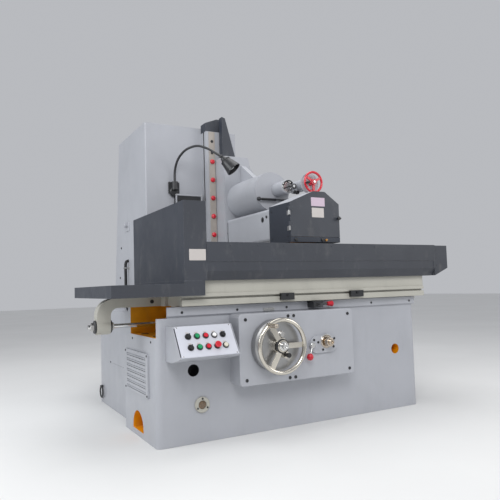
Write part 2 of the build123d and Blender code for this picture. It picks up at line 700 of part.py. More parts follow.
def make_right_end_guard():
    """Catch trough past the table's right end, closed in front and behind."""
    across = (GUARD_FRONT, GUARD_BACK)
    outer = [
        (RIGHT_SEAM, TABLE_TOP),
        (RIGHT_END, GUARD_FOLD - 1),
        (RIGHT_END, GUARD_TOP),
        (RIGHT_SEAM, GUARD_TOP),
    ]
    inner = [
        (RIGHT_SEAM - 1, TABLE_TOP + SHEET),
        (RIGHT_END - SHEET, GUARD_FOLD + SHEET),
        (RIGHT_END - SHEET, GUARD_TOP + 1),
        (RIGHT_SEAM - 1, GUARD_TOP + 1),
    ]
    with BuildPart() as right_end_guard:
        prism("y", outer, across)
        prism("y", inner, (across[0] + SHEET, across[1] - SHEET), Mode.SUBTRACT)
        rear_cut = (GUARD_REAR_TOP, GUARD_TOP + 1)
        rear_wall = (across[1] - SHEET - 1, across[1] + 1)
        block((RIGHT_SEAM - 1, RIGHT_END - SHEET), rear_wall, rear_cut, Mode.SUBTRACT)
        shelf = (TABLE_TOP, TABLE_TOP + SHEET)
        block((TABLE_RIGHT - 18, RIGHT_SEAM), (TABLE_FRONT + 27, TABLE_BACK - 27), shelf)
    write(right_end_guard.part, "right_end_guard")


def make_tall_end_guard():
    """High screen at the table's left end, returned at the front and along its top."""
    left = TABLE_LEFT
    base = TABLE_TOP
    with BuildPart() as tall_end_guard:
        block((left, left + SHEET), (GUARD_FRONT, GUARD_BACK), (base, TALL_TOP))
        block((left, left + TALL_RETURN), (GUARD_FRONT, GUARD_FRONT + SHEET), (base, TALL_TOP))
        lip = (TALL_TOP - SHEET, TALL_TOP)
        block((left, left + TALL_RETURN), (GUARD_FRONT, GUARD_FRONT + 24), lip)
        block((left, left + 24), (GUARD_FRONT, GUARD_BACK), lip)
        foot = (base, base + SHEET)
        block((left, left + TALL_RETURN), (GUARD_FRONT, TABLE_FRONT + CHUCK_INSET), foot)
    write(tall_end_guard.part, "tall_end_guard")


def make_end_tray():
    """Open coolant tray round the table's left end, with a skirt up to the tall screen."""
    outer_y = (GUARD_FRONT, GUARD_BACK)
    with BuildPart() as end_tray:
        block((TRAY_LEFT, TRAY_RIGHT), outer_y, (TRAY_BOTTOM, TRAY_TOP))
        inner_y = (GUARD_FRONT + SHEET, GUARD_BACK - SHEET)
        inner_x = (TRAY_LEFT + SHEET, TRAY_RIGHT - SHEET)
        block(inner_x, inner_y, (TRAY_BOTTOM + SHEET, TRAY_TOP + 1), Mode.SUBTRACT)
        skirt = (TRAY_BOTTOM, TABLE_TOP)
        block((TABLE_LEFT, TRAY_RIGHT), (GUARD_FRONT, GUARD_FRONT + SHEET), skirt)
        block((TABLE_LEFT, TRAY_RIGHT), (GUARD_BACK - SHEET, GUARD_BACK), skirt)
        table_space = (TABLE_FRONT - 0.5, TABLE_BACK + 0.5)
        under_table = (TABLE_LEFT - 0.5, TRAY_RIGHT + 1)
        block(under_table, table_space, (TRAY_BOTTOM - 1, TABLE_TOP + 1), Mode.SUBTRACT)
        ledge = (TABLE_LEFT - 20, TABLE_LEFT)
        block(ledge, (TABLE_FRONT + 60, TABLE_BACK - 60), (TRAY_BOTTOM, TRAY_BOTTOM + SHEET))
    write(end_tray.part, "end_tray")


# ---------------------------------------------------------------- column
def column_outline(inset):
    """Side outline: upright front and a back that leans out towards its foot."""
    return [
        (COLUMN_FRONT + inset, COLUMN_BOTTOM + inset),
        (COLUMN_BACK + COLUMN_SPLAY - inset, COLUMN_BOTTOM + inset),
        (COLUMN_BACK - inset, COLUMN_TOP - inset),
        (COLUMN_FRONT + inset, COLUMN_TOP - inset),
    ]


def make_column_casting():
    """Hollow box column with the vertical guide block on its front."""
    inner = (COLUMN_LEFT + BED_WALL, COLUMN_RIGHT - BED_WALL)
    with BuildPart() as column_casting:
        prism("x", column_outline(0), (COLUMN_LEFT, COLUMN_RIGHT))
        fillet(column_casting.edges().filter_by(Axis.Z), 10)
        prism("x", column_outline(BED_WALL), inner, Mode.SUBTRACT)
        block((GUIDE_LEFT, COLUMN_RIGHT), (GUIDE_FRONT, COLUMN_FRONT), (COLUMN_BOTTOM, GUIDE_TOP))
        rail_y = (GUIDE_FRONT - RAIL_PROUD_OF_GUIDE, GUIDE_FRONT)
        block((RAIL_LEFT, RAIL_RIGHT), rail_y, (COLUMN_BOTTOM + 20, GUIDE_TOP - 4))
        groove = (COLUMN_BOTTOM - 1, GUIDE_TOP + 1)
        block((GUIDE_LEFT - 1, GUIDE_LEFT + 22), (GUIDE_FRONT + 40, GUIDE_FRONT + 58), groove, Mode.SUBTRACT)
        channel_x = (SCREW_X - CHANNEL_HALF, SCREW_X + CHANNEL_HALF)
        channel_y = (GUIDE_FRONT - 1, GUIDE_FRONT + CHANNEL_DEPTH)
        block(channel_x, channel_y, groove, Mode.SUBTRACT)
        for x in CROSS_WAYS:
            way = (x - CROSS_HALF + SLIDING, x + CROSS_HALF - SLIDING)
            low = REAR_BED_HEIGHT - CROSS_WAY_DEPTH + SLIDING
            block(way, (COLUMN_FRONT + 20, COLUMN_BACK + COLUMN_SPLAY - 20), (low, COLUMN_BOTTOM))
    write(column_casting.part, "column_casting")


def make_elevating_screw():
    with BuildPart() as elevating_screw:
        bar("z", (SCREW_X, SCREW_Y), SCREW_RADIUS, (COLUMN_BOTTOM + 60, GUIDE_TOP))
        collar = (COLUMN_BOTTOM, COLUMN_BOTTOM + 60)
        bar("z", (SCREW_X, SCREW_Y), 30, collar)
        thrust = (SCREW_X - CHANNEL_HALF, SCREW_X + CHANNEL_HALF)
        depth = (GUIDE_FRONT, GUIDE_FRONT + CHANNEL_DEPTH)
        block(thrust, depth, (COLUMN_BOTTOM, COLUMN_BOTTOM + 30))
    write(elevating_screw.part, "elevating_screw")
    nut_z = (SPINDLE_Z + 235, SPINDLE_Z + 335)
    with BuildPart() as elevating_nut:
        side = CHANNEL_HALF - 2
        block((SCREW_X - side, SCREW_X + side), (SADDLE_BACK, GUIDE_FRONT + CHANNEL_DEPTH - 6), nut_z)
        bar("z", (SCREW_X, SCREW_Y), SCREW_RADIUS + RUNNING, (nut_z[0] - 1, nut_z[1] + 1), Mode.SUBTRACT)
    write(elevating_nut.part, "elevating_nut")


def make_guide_cap():
    """Dark folded cap over the top end of the guide block."""
    left, right = GUIDE_LEFT - 3, GUIDE_LEFT + 150
    rise = 115
    outline = [
        (left, GUIDE_TOP),
        (right, GUIDE_TOP),
        (right, GUIDE_TOP + rise),
        (right - 45, GUIDE_TOP + rise),
        (left, GUIDE_TOP + rise - 42),
    ]
    with BuildPart() as guide_cap:
        prism("y", outline, (GUIDE_FRONT, COLUMN_FRONT))
        fillet(guide_cap.edges().filter_by(Axis.Y).group_by(Axis.Z)[-1], 20)
    write(guide_cap.part, "guide_cap")


# ---------------------------------------------------------------- work lamp


def arc_radii(points):
    """Largest tangent arc at each inner corner that its two runs allow."""
    vectors = [Vector(*b) - Vector(*a) for a, b in zip(points, points[1:])]
    radii = []
    for before, after in zip(vectors, vectors[1:]):
        turn = radians(before.get_angle(after))
        shorter = min(before.length, after.length)
        radii.append(0.45 * shorter / (sin(turn / 2) / cos(turn / 2)))
    return radii


def make_lamp():
    with BuildPart() as lamp_base:
        block((LAMP_X - 48, LAMP_X + 48), (COLUMN_FRONT - 14, COLUMN_FRONT), (LAMP_Z - 56, LAMP_Z + 40))
        bar("z", (LAMP_X, COLUMN_FRONT - 34), 26, (LAMP_Z - 30, LAMP_Z + 40))
        block((LAMP_X - 26, LAMP_X + 26), (COLUMN_FRONT - 34, COLUMN_FRONT - 14), (LAMP_Z - 30, LAMP_Z + 40))
    write(lamp_base.part, "lamp_base")
    radii = arc_radii(LAMP_ROUTE)
    with BuildPart() as lamp_arm:
        with BuildLine() as route:
            FilletPolyline(*LAMP_ROUTE, radius=radii)
        with BuildSketch(Plane(origin=route.line @ 0, z_dir=route.line % 0)) as section:
            Circle(LAMP_TUBE)
        sweep(section.sketch, path=route.line)
        with Locations(LAMP_ROUTE[-1]):
            Sphere(LAMP_BALL)
    write(lamp_arm.part, "lamp_arm")
    make_lamp_head()


def make_lamp_head():
    """Conical shade on a knuckle at the arm's end, pointing down at the wheel."""
    end = Vector(*LAMP_ROUTE[-1])
    aim = Vector(0.52, -0.42, -0.74).normalized()
    plane = Plane(origin=end + aim * (LAMP_BALL + SLIDING), z_dir=aim)
    with BuildPart() as lamp_head:
        with BuildSketch(plane) as neck:
            Circle(20)
        with BuildSketch(plane.offset(30)) as collar:
            Circle(30)
        loft([neck.sketch, collar.sketch])
        with BuildSketch(plane.offset(30)) as small:
            Circle(38)
        with BuildSketch(plane.offset(135)) as large:
            Circle(62)
        loft([small.sketch, large.sketch])
        with BuildSketch(plane.offset(60)) as inner_small:
            Circle(38)
        with BuildSketch(plane.offset(136)) as inner_large:
            Circle(56)
        loft([inner_small.sketch, inner_large.sketch], mode=Mode.SUBTRACT)
        disc(plane.offset(59), 24, 26)
    write(lamp_head.part, "lamp_head")


# ---------------------------------------------------------------- wheel head
def make_saddle():
    """Plate that slides on the guide block; its upper right corner is cut away."""
    outline = [
        (SADDLE_LEFT, SADDLE_BOTTOM),
        (SADDLE_RIGHT, SADDLE_BOTTOM),
        (SADDLE_RIGHT, BARREL_Z + 110),
        (SADDLE_RIGHT - 130, SADDLE_TOP - 80),
        (SADDLE_RIGHT - 145, SADDLE_TOP),
        (SADDLE_LEFT, SADDLE_TOP),
    ]
    with BuildPart() as saddle:
        prism("y", outline, (SADDLE_FRONT, SADDLE_BACK))
        fillet(saddle.edges().filter_by(Axis.Y), 10)
    write(saddle.part, "saddle")


def make_head_barrel():
    """Big horizontal barrel with its front disc, and the rib up to the saddle."""
    rib_x = (BARREL_X - 22, BARREL_X + 22)
    rib = [
        (SADDLE_FRONT, BARREL_Z),
        (SADDLE_FRONT, SADDLE_TOP - 80),
        (SADDLE_FRONT - 20, SADDLE_TOP - 80),
        (SADDLE_FRONT - 235, BARREL_Z + BARREL_RADIUS),
        (SADDLE_FRONT - 235, BARREL_Z),
    ]
    with BuildPart() as head_barrel:
        prism("x", rib, rib_x)
        bar("y", (BARREL_X, BARREL_Z), BARREL_RADIUS, (BARREL_FRONT + 12, SADDLE_FRONT))
        bar("y", (BARREL_X, BARREL_Z), BARREL_RADIUS - 3, (BARREL_FRONT, BARREL_FRONT + 12))
        cavity = (BARREL_FRONT + 40, SADDLE_FRONT - 40)
        bar("y", (BARREL_X, BARREL_Z), BARREL_RADIUS - 22, cavity, Mode.SUBTRACT)
    write(head_barrel.part, "head_barrel")


def make_spindle_housing():
    """Lower head casting, bored for the bearings and the built-in motor."""
    axis = (SPINDLE_X, SPINDLE_Z)
    span = (HOUSING_FRONT, SADDLE_FRONT)
    with BuildPart() as spindle_housing:
        block((HOUSING_LEFT, HOUSING_RIGHT), span, (HOUSING_BOTTOM, HOUSING_TOP))
        fillet(spindle_housing.edges().filter_by(Axis.Y), 24)
        bar("y", axis, SPINDLE_RADIUS + 6, (HOUSING_FRONT - 1, SPINDLE_REAR + 20), Mode.SUBTRACT)
        bar("y", axis, BEARING_OUTER, (BEARING_SPANS[0][0], BEARING_SPANS[1][1]), Mode.SUBTRACT)
        bar("y", axis, STATOR_OUTER, STATOR_SPAN, Mode.SUBTRACT)
    write(spindle_housing.part, "spindle_housing")
    with BuildPart() as spindle_bearings:
        for bearing in BEARING_SPANS:
            ring("y", axis, BEARING_OUTER, SPINDLE_RADIUS + RUNNING, bearing)
    write(spindle_bearings.part, "spindle_bearings")
    with BuildPart() as motor_stator:
        ring("y", axis, STATOR_OUTER, STATOR_INNER, STATOR_SPAN)
    write(motor_stator.part, "motor_stator")


def make_spindle():
    axis = (SPINDLE_X, SPINDLE_Z)
    wheel = (WHEEL_BACK - WHEEL_WIDTH, WHEEL_BACK)
    hub_bore = 40
    with BuildPart() as spindle:
        bar("y", axis, SPINDLE_RADIUS, (WHEEL_BACK + 22, SPINDLE_REAR))
        bar("y", axis, 22, (wheel[0] - 36, WHEEL_BACK + 22))
    write(spindle.part, "spindle")
    with BuildPart() as motor_rotor:
        ring("y", axis, STATOR_INNER - 1, SPINDLE_RADIUS, (STATOR_SPAN[0] + 10, STATOR_SPAN[1] - 10))
    write(motor_rotor.part, "motor_rotor")
    with BuildPart() as grinding_wheel:
        ring("y", axis, WHEEL_RADIUS, hub_bore, wheel)
    write(grinding_wheel.part, "grinding_wheel")
    with BuildPart() as wheel_flange:
        bar("y", axis, 75, (WHEEL_BACK, WHEEL_BACK + 16))
        bar("y", axis, hub_bore, wheel)
        bar("y", axis, 75, (wheel[0] - 14, wheel[0]))
        bar("y", axis, 22, (wheel[0] - 15, WHEEL_BACK + 17), Mode.SUBTRACT)
        for turn in range(6):
            angle = radians(60 * turn)
            x = SPINDLE_X + 58 * cos(angle)
            z = SPINDLE_Z + 58 * sin(angle)
            screw_heads([(x, wheel[0] - 14, z)], (0, -1, 0), 7, 6)
    write(wheel_flange.part, "wheel_flange")


def hood_outline(inset):
    """Front outline of the wheel hood, open at its foot, with sloped shoulders."""
    slope = inset * 0.45
    foot = HOOD_BOTTOM - (1 if inset else 0)
    return [
        (HOOD_LEFT + inset, foot),
        (HOOD_RIGHT - inset, foot),
        (HOOD_RIGHT - inset, HOOD_SHOULDER - slope),
        (SPINDLE_X + 109 - slope, HOOD_TOP - inset),
        (SPINDLE_X + 9 + slope, HOOD_TOP - inset),
        (HOOD_LEFT + inset, HOOD_SHOULDER - slope),
    ]


def make_wheel_hood():
    """Guard round the wheel: closed at the back, open in front for the door."""
    wall = SHEET
    with BuildPart() as wheel_hood:
        prism("y", hood_outline(0), (HOOD_FRONT + DOOR_THICK, HOOD_BACK))
        inside = (HOOD_FRONT + DOOR_THICK - 1, HOOD_BACK - 12)
        prism("y", hood_outline(wall), inside, Mode.SUBTRACT)
        front = (HOOD_FRONT, HOOD_FRONT + SHEET)
        block((HOOD_LEFT, HOOD_RIGHT), front, (HOOD_BOTTOM, HOOD_BOTTOM + HOOD_LIP - 2))
        sides = (HOOD_FRONT, HOOD_FRONT + DOOR_THICK + 1)
        for x in (HOOD_LEFT, HOOD_RIGHT - SHEET):
            block((x, x + SHEET), sides, (HOOD_BOTTOM, HOOD_BOTTOM + HOOD_LIP - 2))
        axis = (SPINDLE_X, SPINDLE_Z)
        bar("y", axis, SPINDLE_RADIUS + 6, (HOOD_BACK - 13, HOOD_BACK + 1), Mode.SUBTRACT)
        spacer = (HOOD_BACK, HOUSING_FRONT)
        for x, z in ((-100, 60), (100, 60), (-100, -60), (100, -60)):
            bar("y", (SPINDLE_X + x, SPINDLE_Z + z), 20, spacer)
    write(wheel_hood.part, "wheel_hood")


def make_hood_door():
    """Front door of the hood on two vertical hinges at its left edge."""
    foot = HOOD_BOTTOM + HOOD_LIP
    outline = [
        (HOOD_LEFT, foot),
        (HOOD_RIGHT, foot),
        (HOOD_RIGHT, HOOD_SHOULDER),
        (SPINDLE_X + 109, HOOD_TOP),
        (SPINDLE_X + 9, HOOD_TOP),
        (HOOD_LEFT, HOOD_SHOULDER),
    ]
    with BuildPart() as hood_door:
        prism("y", outline, (HOOD_FRONT, HOOD_FRONT + DOOR_THICK - 1))
        for span in HINGE_SPANS:
            upper = (span[0] + 31, span[1])
            bar("z", (HINGE_X, HINGE_Y), 8, upper)
            block((HINGE_X, HOOD_LEFT + 20), (HOOD_FRONT - 3, HOOD_FRONT), upper)
            bar("z", (HINGE_X, HINGE_Y), 4 + RUNNING, (span[0], span[1] + 1), Mode.SUBTRACT)
        latch_z = SPINDLE_Z + 20
        bar("y", (HOOD_RIGHT - 18, latch_z), 9, (HOOD_FRONT - 14, HOOD_FRONT))
    write(hood_door.part, "hood_door")
    with BuildPart() as door_hinges:
        for span in HINGE_SPANS:
            bar("z", (HINGE_X, HINGE_Y), 8, (span[0], span[0] + 30))
            bar("z", (HINGE_X, HINGE_Y), 4, span)
            block((HOOD_LEFT - 3, HOOD_LEFT), (HOOD_FRONT + 8, HOOD_FRONT + 40), (span[0], span[0] + 30))
            block((HINGE_X, HOOD_LEFT), (HINGE_Y + 3, HOOD_FRONT + 12), (span[0], span[0] + 30))
    write(door_hinges.part, "door_hinges")


def make_head_feed():
    """Feed gearbox on the barrel's disc, its red handwheel and the clamping lever."""
    with BuildPart() as feed_gearbox:
        bar("y", (FEED_X, FEED_Z), 54, (BARREL_FRONT - 150, BARREL_FRONT))
        fillet(feed_gearbox.faces().sort_by(Axis.Y)[0].edges(), 8)
        hub = (HEAD_WHEEL_X, HEAD_WHEEL_Z)
        block((FEED_X, HEAD_WHEEL_X), (BARREL_FRONT - 140, BARREL_FRONT - 60), (FEED_Z - 28, FEED_Z + 32))
        bar("y", hub, 46, (BARREL_FRONT - 270, BARREL_FRONT - 40))
        bar("y", hub, 78, (BARREL_FRONT - 262, BARREL_FRONT - 250))
        bar("y", hub, 12 + RUNNING, (BARREL_FRONT - 271, BARREL_FRONT - 180), Mode.SUBTRACT)
        pivot = (BARREL_FRONT - 12, BARREL_FRONT)
        bar("y", (CLAMP_X, CLAMP_Z), 18, pivot)
        bar("y", (CLAMP_X, CLAMP_Z), 7, (CLAMP_Y - 20, BARREL_FRONT))
    write(feed_gearbox.part, "feed_gearbox")
    with BuildPart() as head_handwheel:
        bar("y", hub, 12, (HEAD_WHEEL_Y - 4, BARREL_FRONT - 185))
        bar("y", hub, 22, (HEAD_WHEEL_Y - 12, BARREL_FRONT - 272))
        with Locations((HEAD_WHEEL_X, HEAD_WHEEL_Y, HEAD_WHEEL_Z)):
            Torus(HEAD_WHEEL_RADIUS - 9, 9, rotation=(90, 0, 0))
        spoke_y = (HEAD_WHEEL_Y - 5, HEAD_WHEEL_Y + 5)
        add_spokes(HEAD_WHEEL_X, HEAD_WHEEL_Z, (18, HEAD_WHEEL_RADIUS - 9), spoke_y, 18, 30)
    write(head_handwheel.part, "head_handwheel")
    with BuildPart() as clamp_lever:
        bar("y", (CLAMP_X, CLAMP_Z), 15, (CLAMP_Y - 10, CLAMP_Y + 10))
        bar("x", (CLAMP_Y, CLAMP_Z), 6, (CLAMP_X - 250, CLAMP_X))
        bar("x", (CLAMP_Y, CLAMP_Z), 10, (CLAMP_X - 235, CLAMP_X - 110))
        with Locations((CLAMP_X - 262, CLAMP_Y, CLAMP_Z)):
            Sphere(17)
        bar("y", (CLAMP_X, CLAMP_Z), 7 + RUNNING, (CLAMP_Y - 11, CLAMP_Y + 11), Mode.SUBTRACT)
    write(clamp_lever.part, "clamp_lever")


def add_spokes(x, z, reach, y_span, width, first_angle):
    """Three flat spokes from hub to rim, 120 degrees apart."""
    for turn in range(3):
        angle = first_angle + 120 * turn
        middle = (reach[0] + reach[1]) / 2
        along = (x + middle * cos(radians(angle)), z + middle * sin(radians(angle)))
        centre = (along[0], (y_span[0] + y_span[1]) / 2, along[1])
        with Locations(Location(centre, (0, -angle, 0))):
            Box(reach[1] - reach[0], y_span[1] - y_span[0], width)


def make_way_cover():
    """Tapered dark cover above the saddle, in front of the guide block."""
    left = GUIDE_LEFT + 116
    back = GUIDE_FRONT - 28
    outline = [
        (left, SADDLE_TOP),
        (left + 125, SADDLE_TOP),
        (left + 30, GUIDE_TOP + 105),
        (left, GUIDE_TOP + 115),
    ]
    with BuildPart() as way_cover:
        prism("y", outline, (back - 60, back))
    write(way_cover.part, "way_cover")


# ---------------------------------------------------------------- hand controls
def make_handwheel():
    """Front handwheel with dished spokes, graduated drum and shaft."""
    at = (HANDWHEEL_X, HANDWHEEL_Z)
    rim = 14
    with BuildPart() as handwheel:
        bar("y", at, SHAFT_RADIUS, (RIM_Y + 20, APRON_FRONT + 100))
        bar("y", at, 38, (RIM_Y - 6, APRON_FRONT - 70))
        bar("y", at, 52, (RIM_Y + 14, APRON_FRONT - 70))
        with Locations((HANDWHEEL_X, RIM_Y, HANDWHEEL_Z)):
            Torus(HANDWHEEL_RADIUS - rim, rim, rotation=(90, 0, 0))
        reach = (30, HANDWHEEL_RADIUS - rim)
        add_spokes(HANDWHEEL_X, HANDWHEEL_Z, reach, (RIM_Y + 1, RIM_Y + 12), 34, 0)
        crank = crank_place()
        bar("y", crank, rim + 3, (RIM_Y - rim - 2, RIM_Y + 9))
        bar("y", crank, 6, (RIM_Y - 100, RIM_Y - rim + 4))
        knob = clutch_place()
        bar("y", knob, 22, (RIM_Y + 10, APRON_FRONT - 70))
        bar("y", knob, 8 + SLIDING, (RIM_Y + 9, RIM_Y + 40), Mode.SUBTRACT)
    write(handwheel.part, "handwheel")
    drum_span = (APRON_FRONT - 70, APRON_FRONT - 9)
    with BuildPart() as dial_drum:
        bar("y", at, HANDWHEEL_RADIUS - 14, drum_span)
        chamfer(dial_drum.faces().sort_by(Axis.Y)[0].edges(), 12)
        bar("y", at, SHAFT_RADIUS, (drum_span[0] - 1, drum_span[1] + 1), Mode.SUBTRACT)
    write(dial_drum.part, "dial_drum")
    with BuildPart() as crank_grip:
        grip = (RIM_Y - 98, RIM_Y - 18)
        bar("y", crank, 14, grip)
        fillet(crank_grip.faces().sort_by(Axis.Y)[0].edges(), 6)
        bar("y", crank, 6 + RUNNING, (grip[0] - 1, grip[1] + 1), Mode.SUBTRACT)
    write(crank_grip.part, "crank_grip")
    with BuildPart() as clutch_knob:
        bar("y", knob, 8, (RIM_Y - 12, RIM_Y + 34))
        bar("y", knob, 15, (RIM_Y - 26, RIM_Y - 8))
    write(clutch_knob.part, "clutch_knob")


def crank_place():
    reach = HANDWHEEL_RADIUS - 14
    angle = radians(CRANK_ANGLE)
    return (HANDWHEEL_X + reach * cos(angle), HANDWHEEL_Z + reach * sin(angle))


def clutch_place():
    return (HANDWHEEL_X + 32, HANDWHEEL_Z - 58)


def make_feed_lever():
    """Short lever with a ball, on the oval flange of the apron."""
    face = APRON_FRONT - 12 - SLIDING
    lean = radians(22)
    reach = 81
    tip = Vector(LEVER_X - reach * sin(lean), face - 24, LEVER_Z - reach * cos(lean))
    with BuildPart() as feed_lever:
        bar("y", (LEVER_X, LEVER_Z), 18, (face - 26, face))
        chamfer(feed_lever.faces().sort_by(Axis.Y)[0].edges(), 3)
        start = Vector(LEVER_X, face - 14, LEVER_Z)
        with BuildSketch(Plane(origin=start, z_dir=tip - start)) as rod:
            Circle(6)
        extrude(rod.sketch, amount=(tip - start).length)
        with Locations(Plane(origin=tip, z_dir=tip - start).location):
            Sphere(LEVER_BALL)
    write(feed_lever.part, "feed_lever")
    with BuildPart() as throttle_knob:
        bar("y", (THROTTLE_X, THROTTLE_Z), 22, (face - 20, face))
        bar("y", (THROTTLE_X, THROTTLE_Z), 30, (face - 52, face - 20))
        fillet(throttle_knob.faces().sort_by(Axis.Y)[0].edges(), 4)
    write(throttle_knob.part, "throttle_knob")


def make_reversing_lever():
    back = BED_FRONT - STRIP_PROUD
    with BuildPart() as reversing_block:
        block((REVERSE_X - 40, REVERSE_X + 41), (REVERSE_Y - 30, back), (REVERSE_Z - 19, REVERSE_Z + 22))
        slot = (REVERSE_Z - 9, REVERSE_Z + 9)
        block((REVERSE_X - 18, REVERSE_X + 42), (REVERSE_Y - 31, REVERSE_Y + 32), slot, Mode.SUBTRACT)
        bar("z", (REVERSE_X, REVERSE_Y), 5, (REVERSE_Z - 19, REVERSE_Z + 22))
    write(reversing_block.part, "reversing_block")
    with BuildPart() as reversing_lever:
        bar("z", (REVERSE_X, REVERSE_Y), 14, (REVERSE_Z - 8, REVERSE_Z + 8))
        bar("x", (REVERSE_Y, REVERSE_Z), 6, (REVERSE_X, REVERSE_X + 110))
        knob = (REVERSE_X + 98, REVERSE_X + 140)
        with Locations(((knob[0] + knob[1]) / 2, REVERSE_Y, REVERSE_Z)):
            Cone(13, 21, knob[1] - knob[0], rotation=(0, 90, 0))
        bar("z", (REVERSE_X, REVERSE_Y), 5 + RUNNING, (REVERSE_Z - 9, REVERSE_Z + 9), Mode.SUBTRACT)
    write(reversing_lever.part, "reversing_lever")


# ---------------------------------------------------------------- everything
make_bed_casting()
make_rear_bed()
make_front_strip()
make_end_access_panel()
make_apron()
make_console()
make_operators()
make_hydraulic_drive()
make_arm_bracket()
make_table_casting()
make_magnetic_chuck()
make_trip_dog("trip_dog_left", (-214, -109))
make_trip_dog("trip_dog_right", (384, 500))
make_guards()
make_column_casting()
make_elevating_screw()
make_guide_cap()
make_lamp()
make_saddle()
make_head_barrel()
make_spindle_housing()
make_spindle()
make_wheel_hood()
make_hood_door()
make_head_feed()
make_way_cover()
make_handwheel()
make_feed_lever()
make_reversing_lever()
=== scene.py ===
import json
import math

import bmesh
import bpy
from mathutils import Matrix, Vector


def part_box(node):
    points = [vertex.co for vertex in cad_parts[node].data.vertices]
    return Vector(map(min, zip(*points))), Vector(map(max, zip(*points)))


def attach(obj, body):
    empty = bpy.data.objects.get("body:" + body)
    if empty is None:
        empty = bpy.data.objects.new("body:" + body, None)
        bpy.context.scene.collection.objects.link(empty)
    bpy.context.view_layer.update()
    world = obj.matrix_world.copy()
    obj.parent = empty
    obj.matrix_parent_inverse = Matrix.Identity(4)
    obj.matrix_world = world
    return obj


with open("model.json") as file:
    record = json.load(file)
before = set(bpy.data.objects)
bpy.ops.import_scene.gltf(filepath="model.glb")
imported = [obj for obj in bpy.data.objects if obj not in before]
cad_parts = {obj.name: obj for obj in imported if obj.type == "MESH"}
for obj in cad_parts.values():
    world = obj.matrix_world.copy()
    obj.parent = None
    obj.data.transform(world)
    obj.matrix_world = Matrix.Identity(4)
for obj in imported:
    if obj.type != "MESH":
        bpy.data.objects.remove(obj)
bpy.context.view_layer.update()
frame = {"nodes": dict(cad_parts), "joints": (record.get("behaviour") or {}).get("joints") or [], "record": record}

NODES = frame["nodes"]
RECORD = frame["record"]


# ---------------------------------------------------------------- material tools
def rgb(r, g, b):
    """Linear colour from 0-255 display values."""
    out = []
    for value in (r, g, b):
        v = value / 255
        out.append(v / 12.92 if v <= 0.04045 else ((v + 0.055) / 1.055) ** 2.4)
    return tuple(out)


def scaled(colour, k):
    """A colour made lighter or darker by a factor."""
    return tuple(min(1.0, c * k) for c in colour)


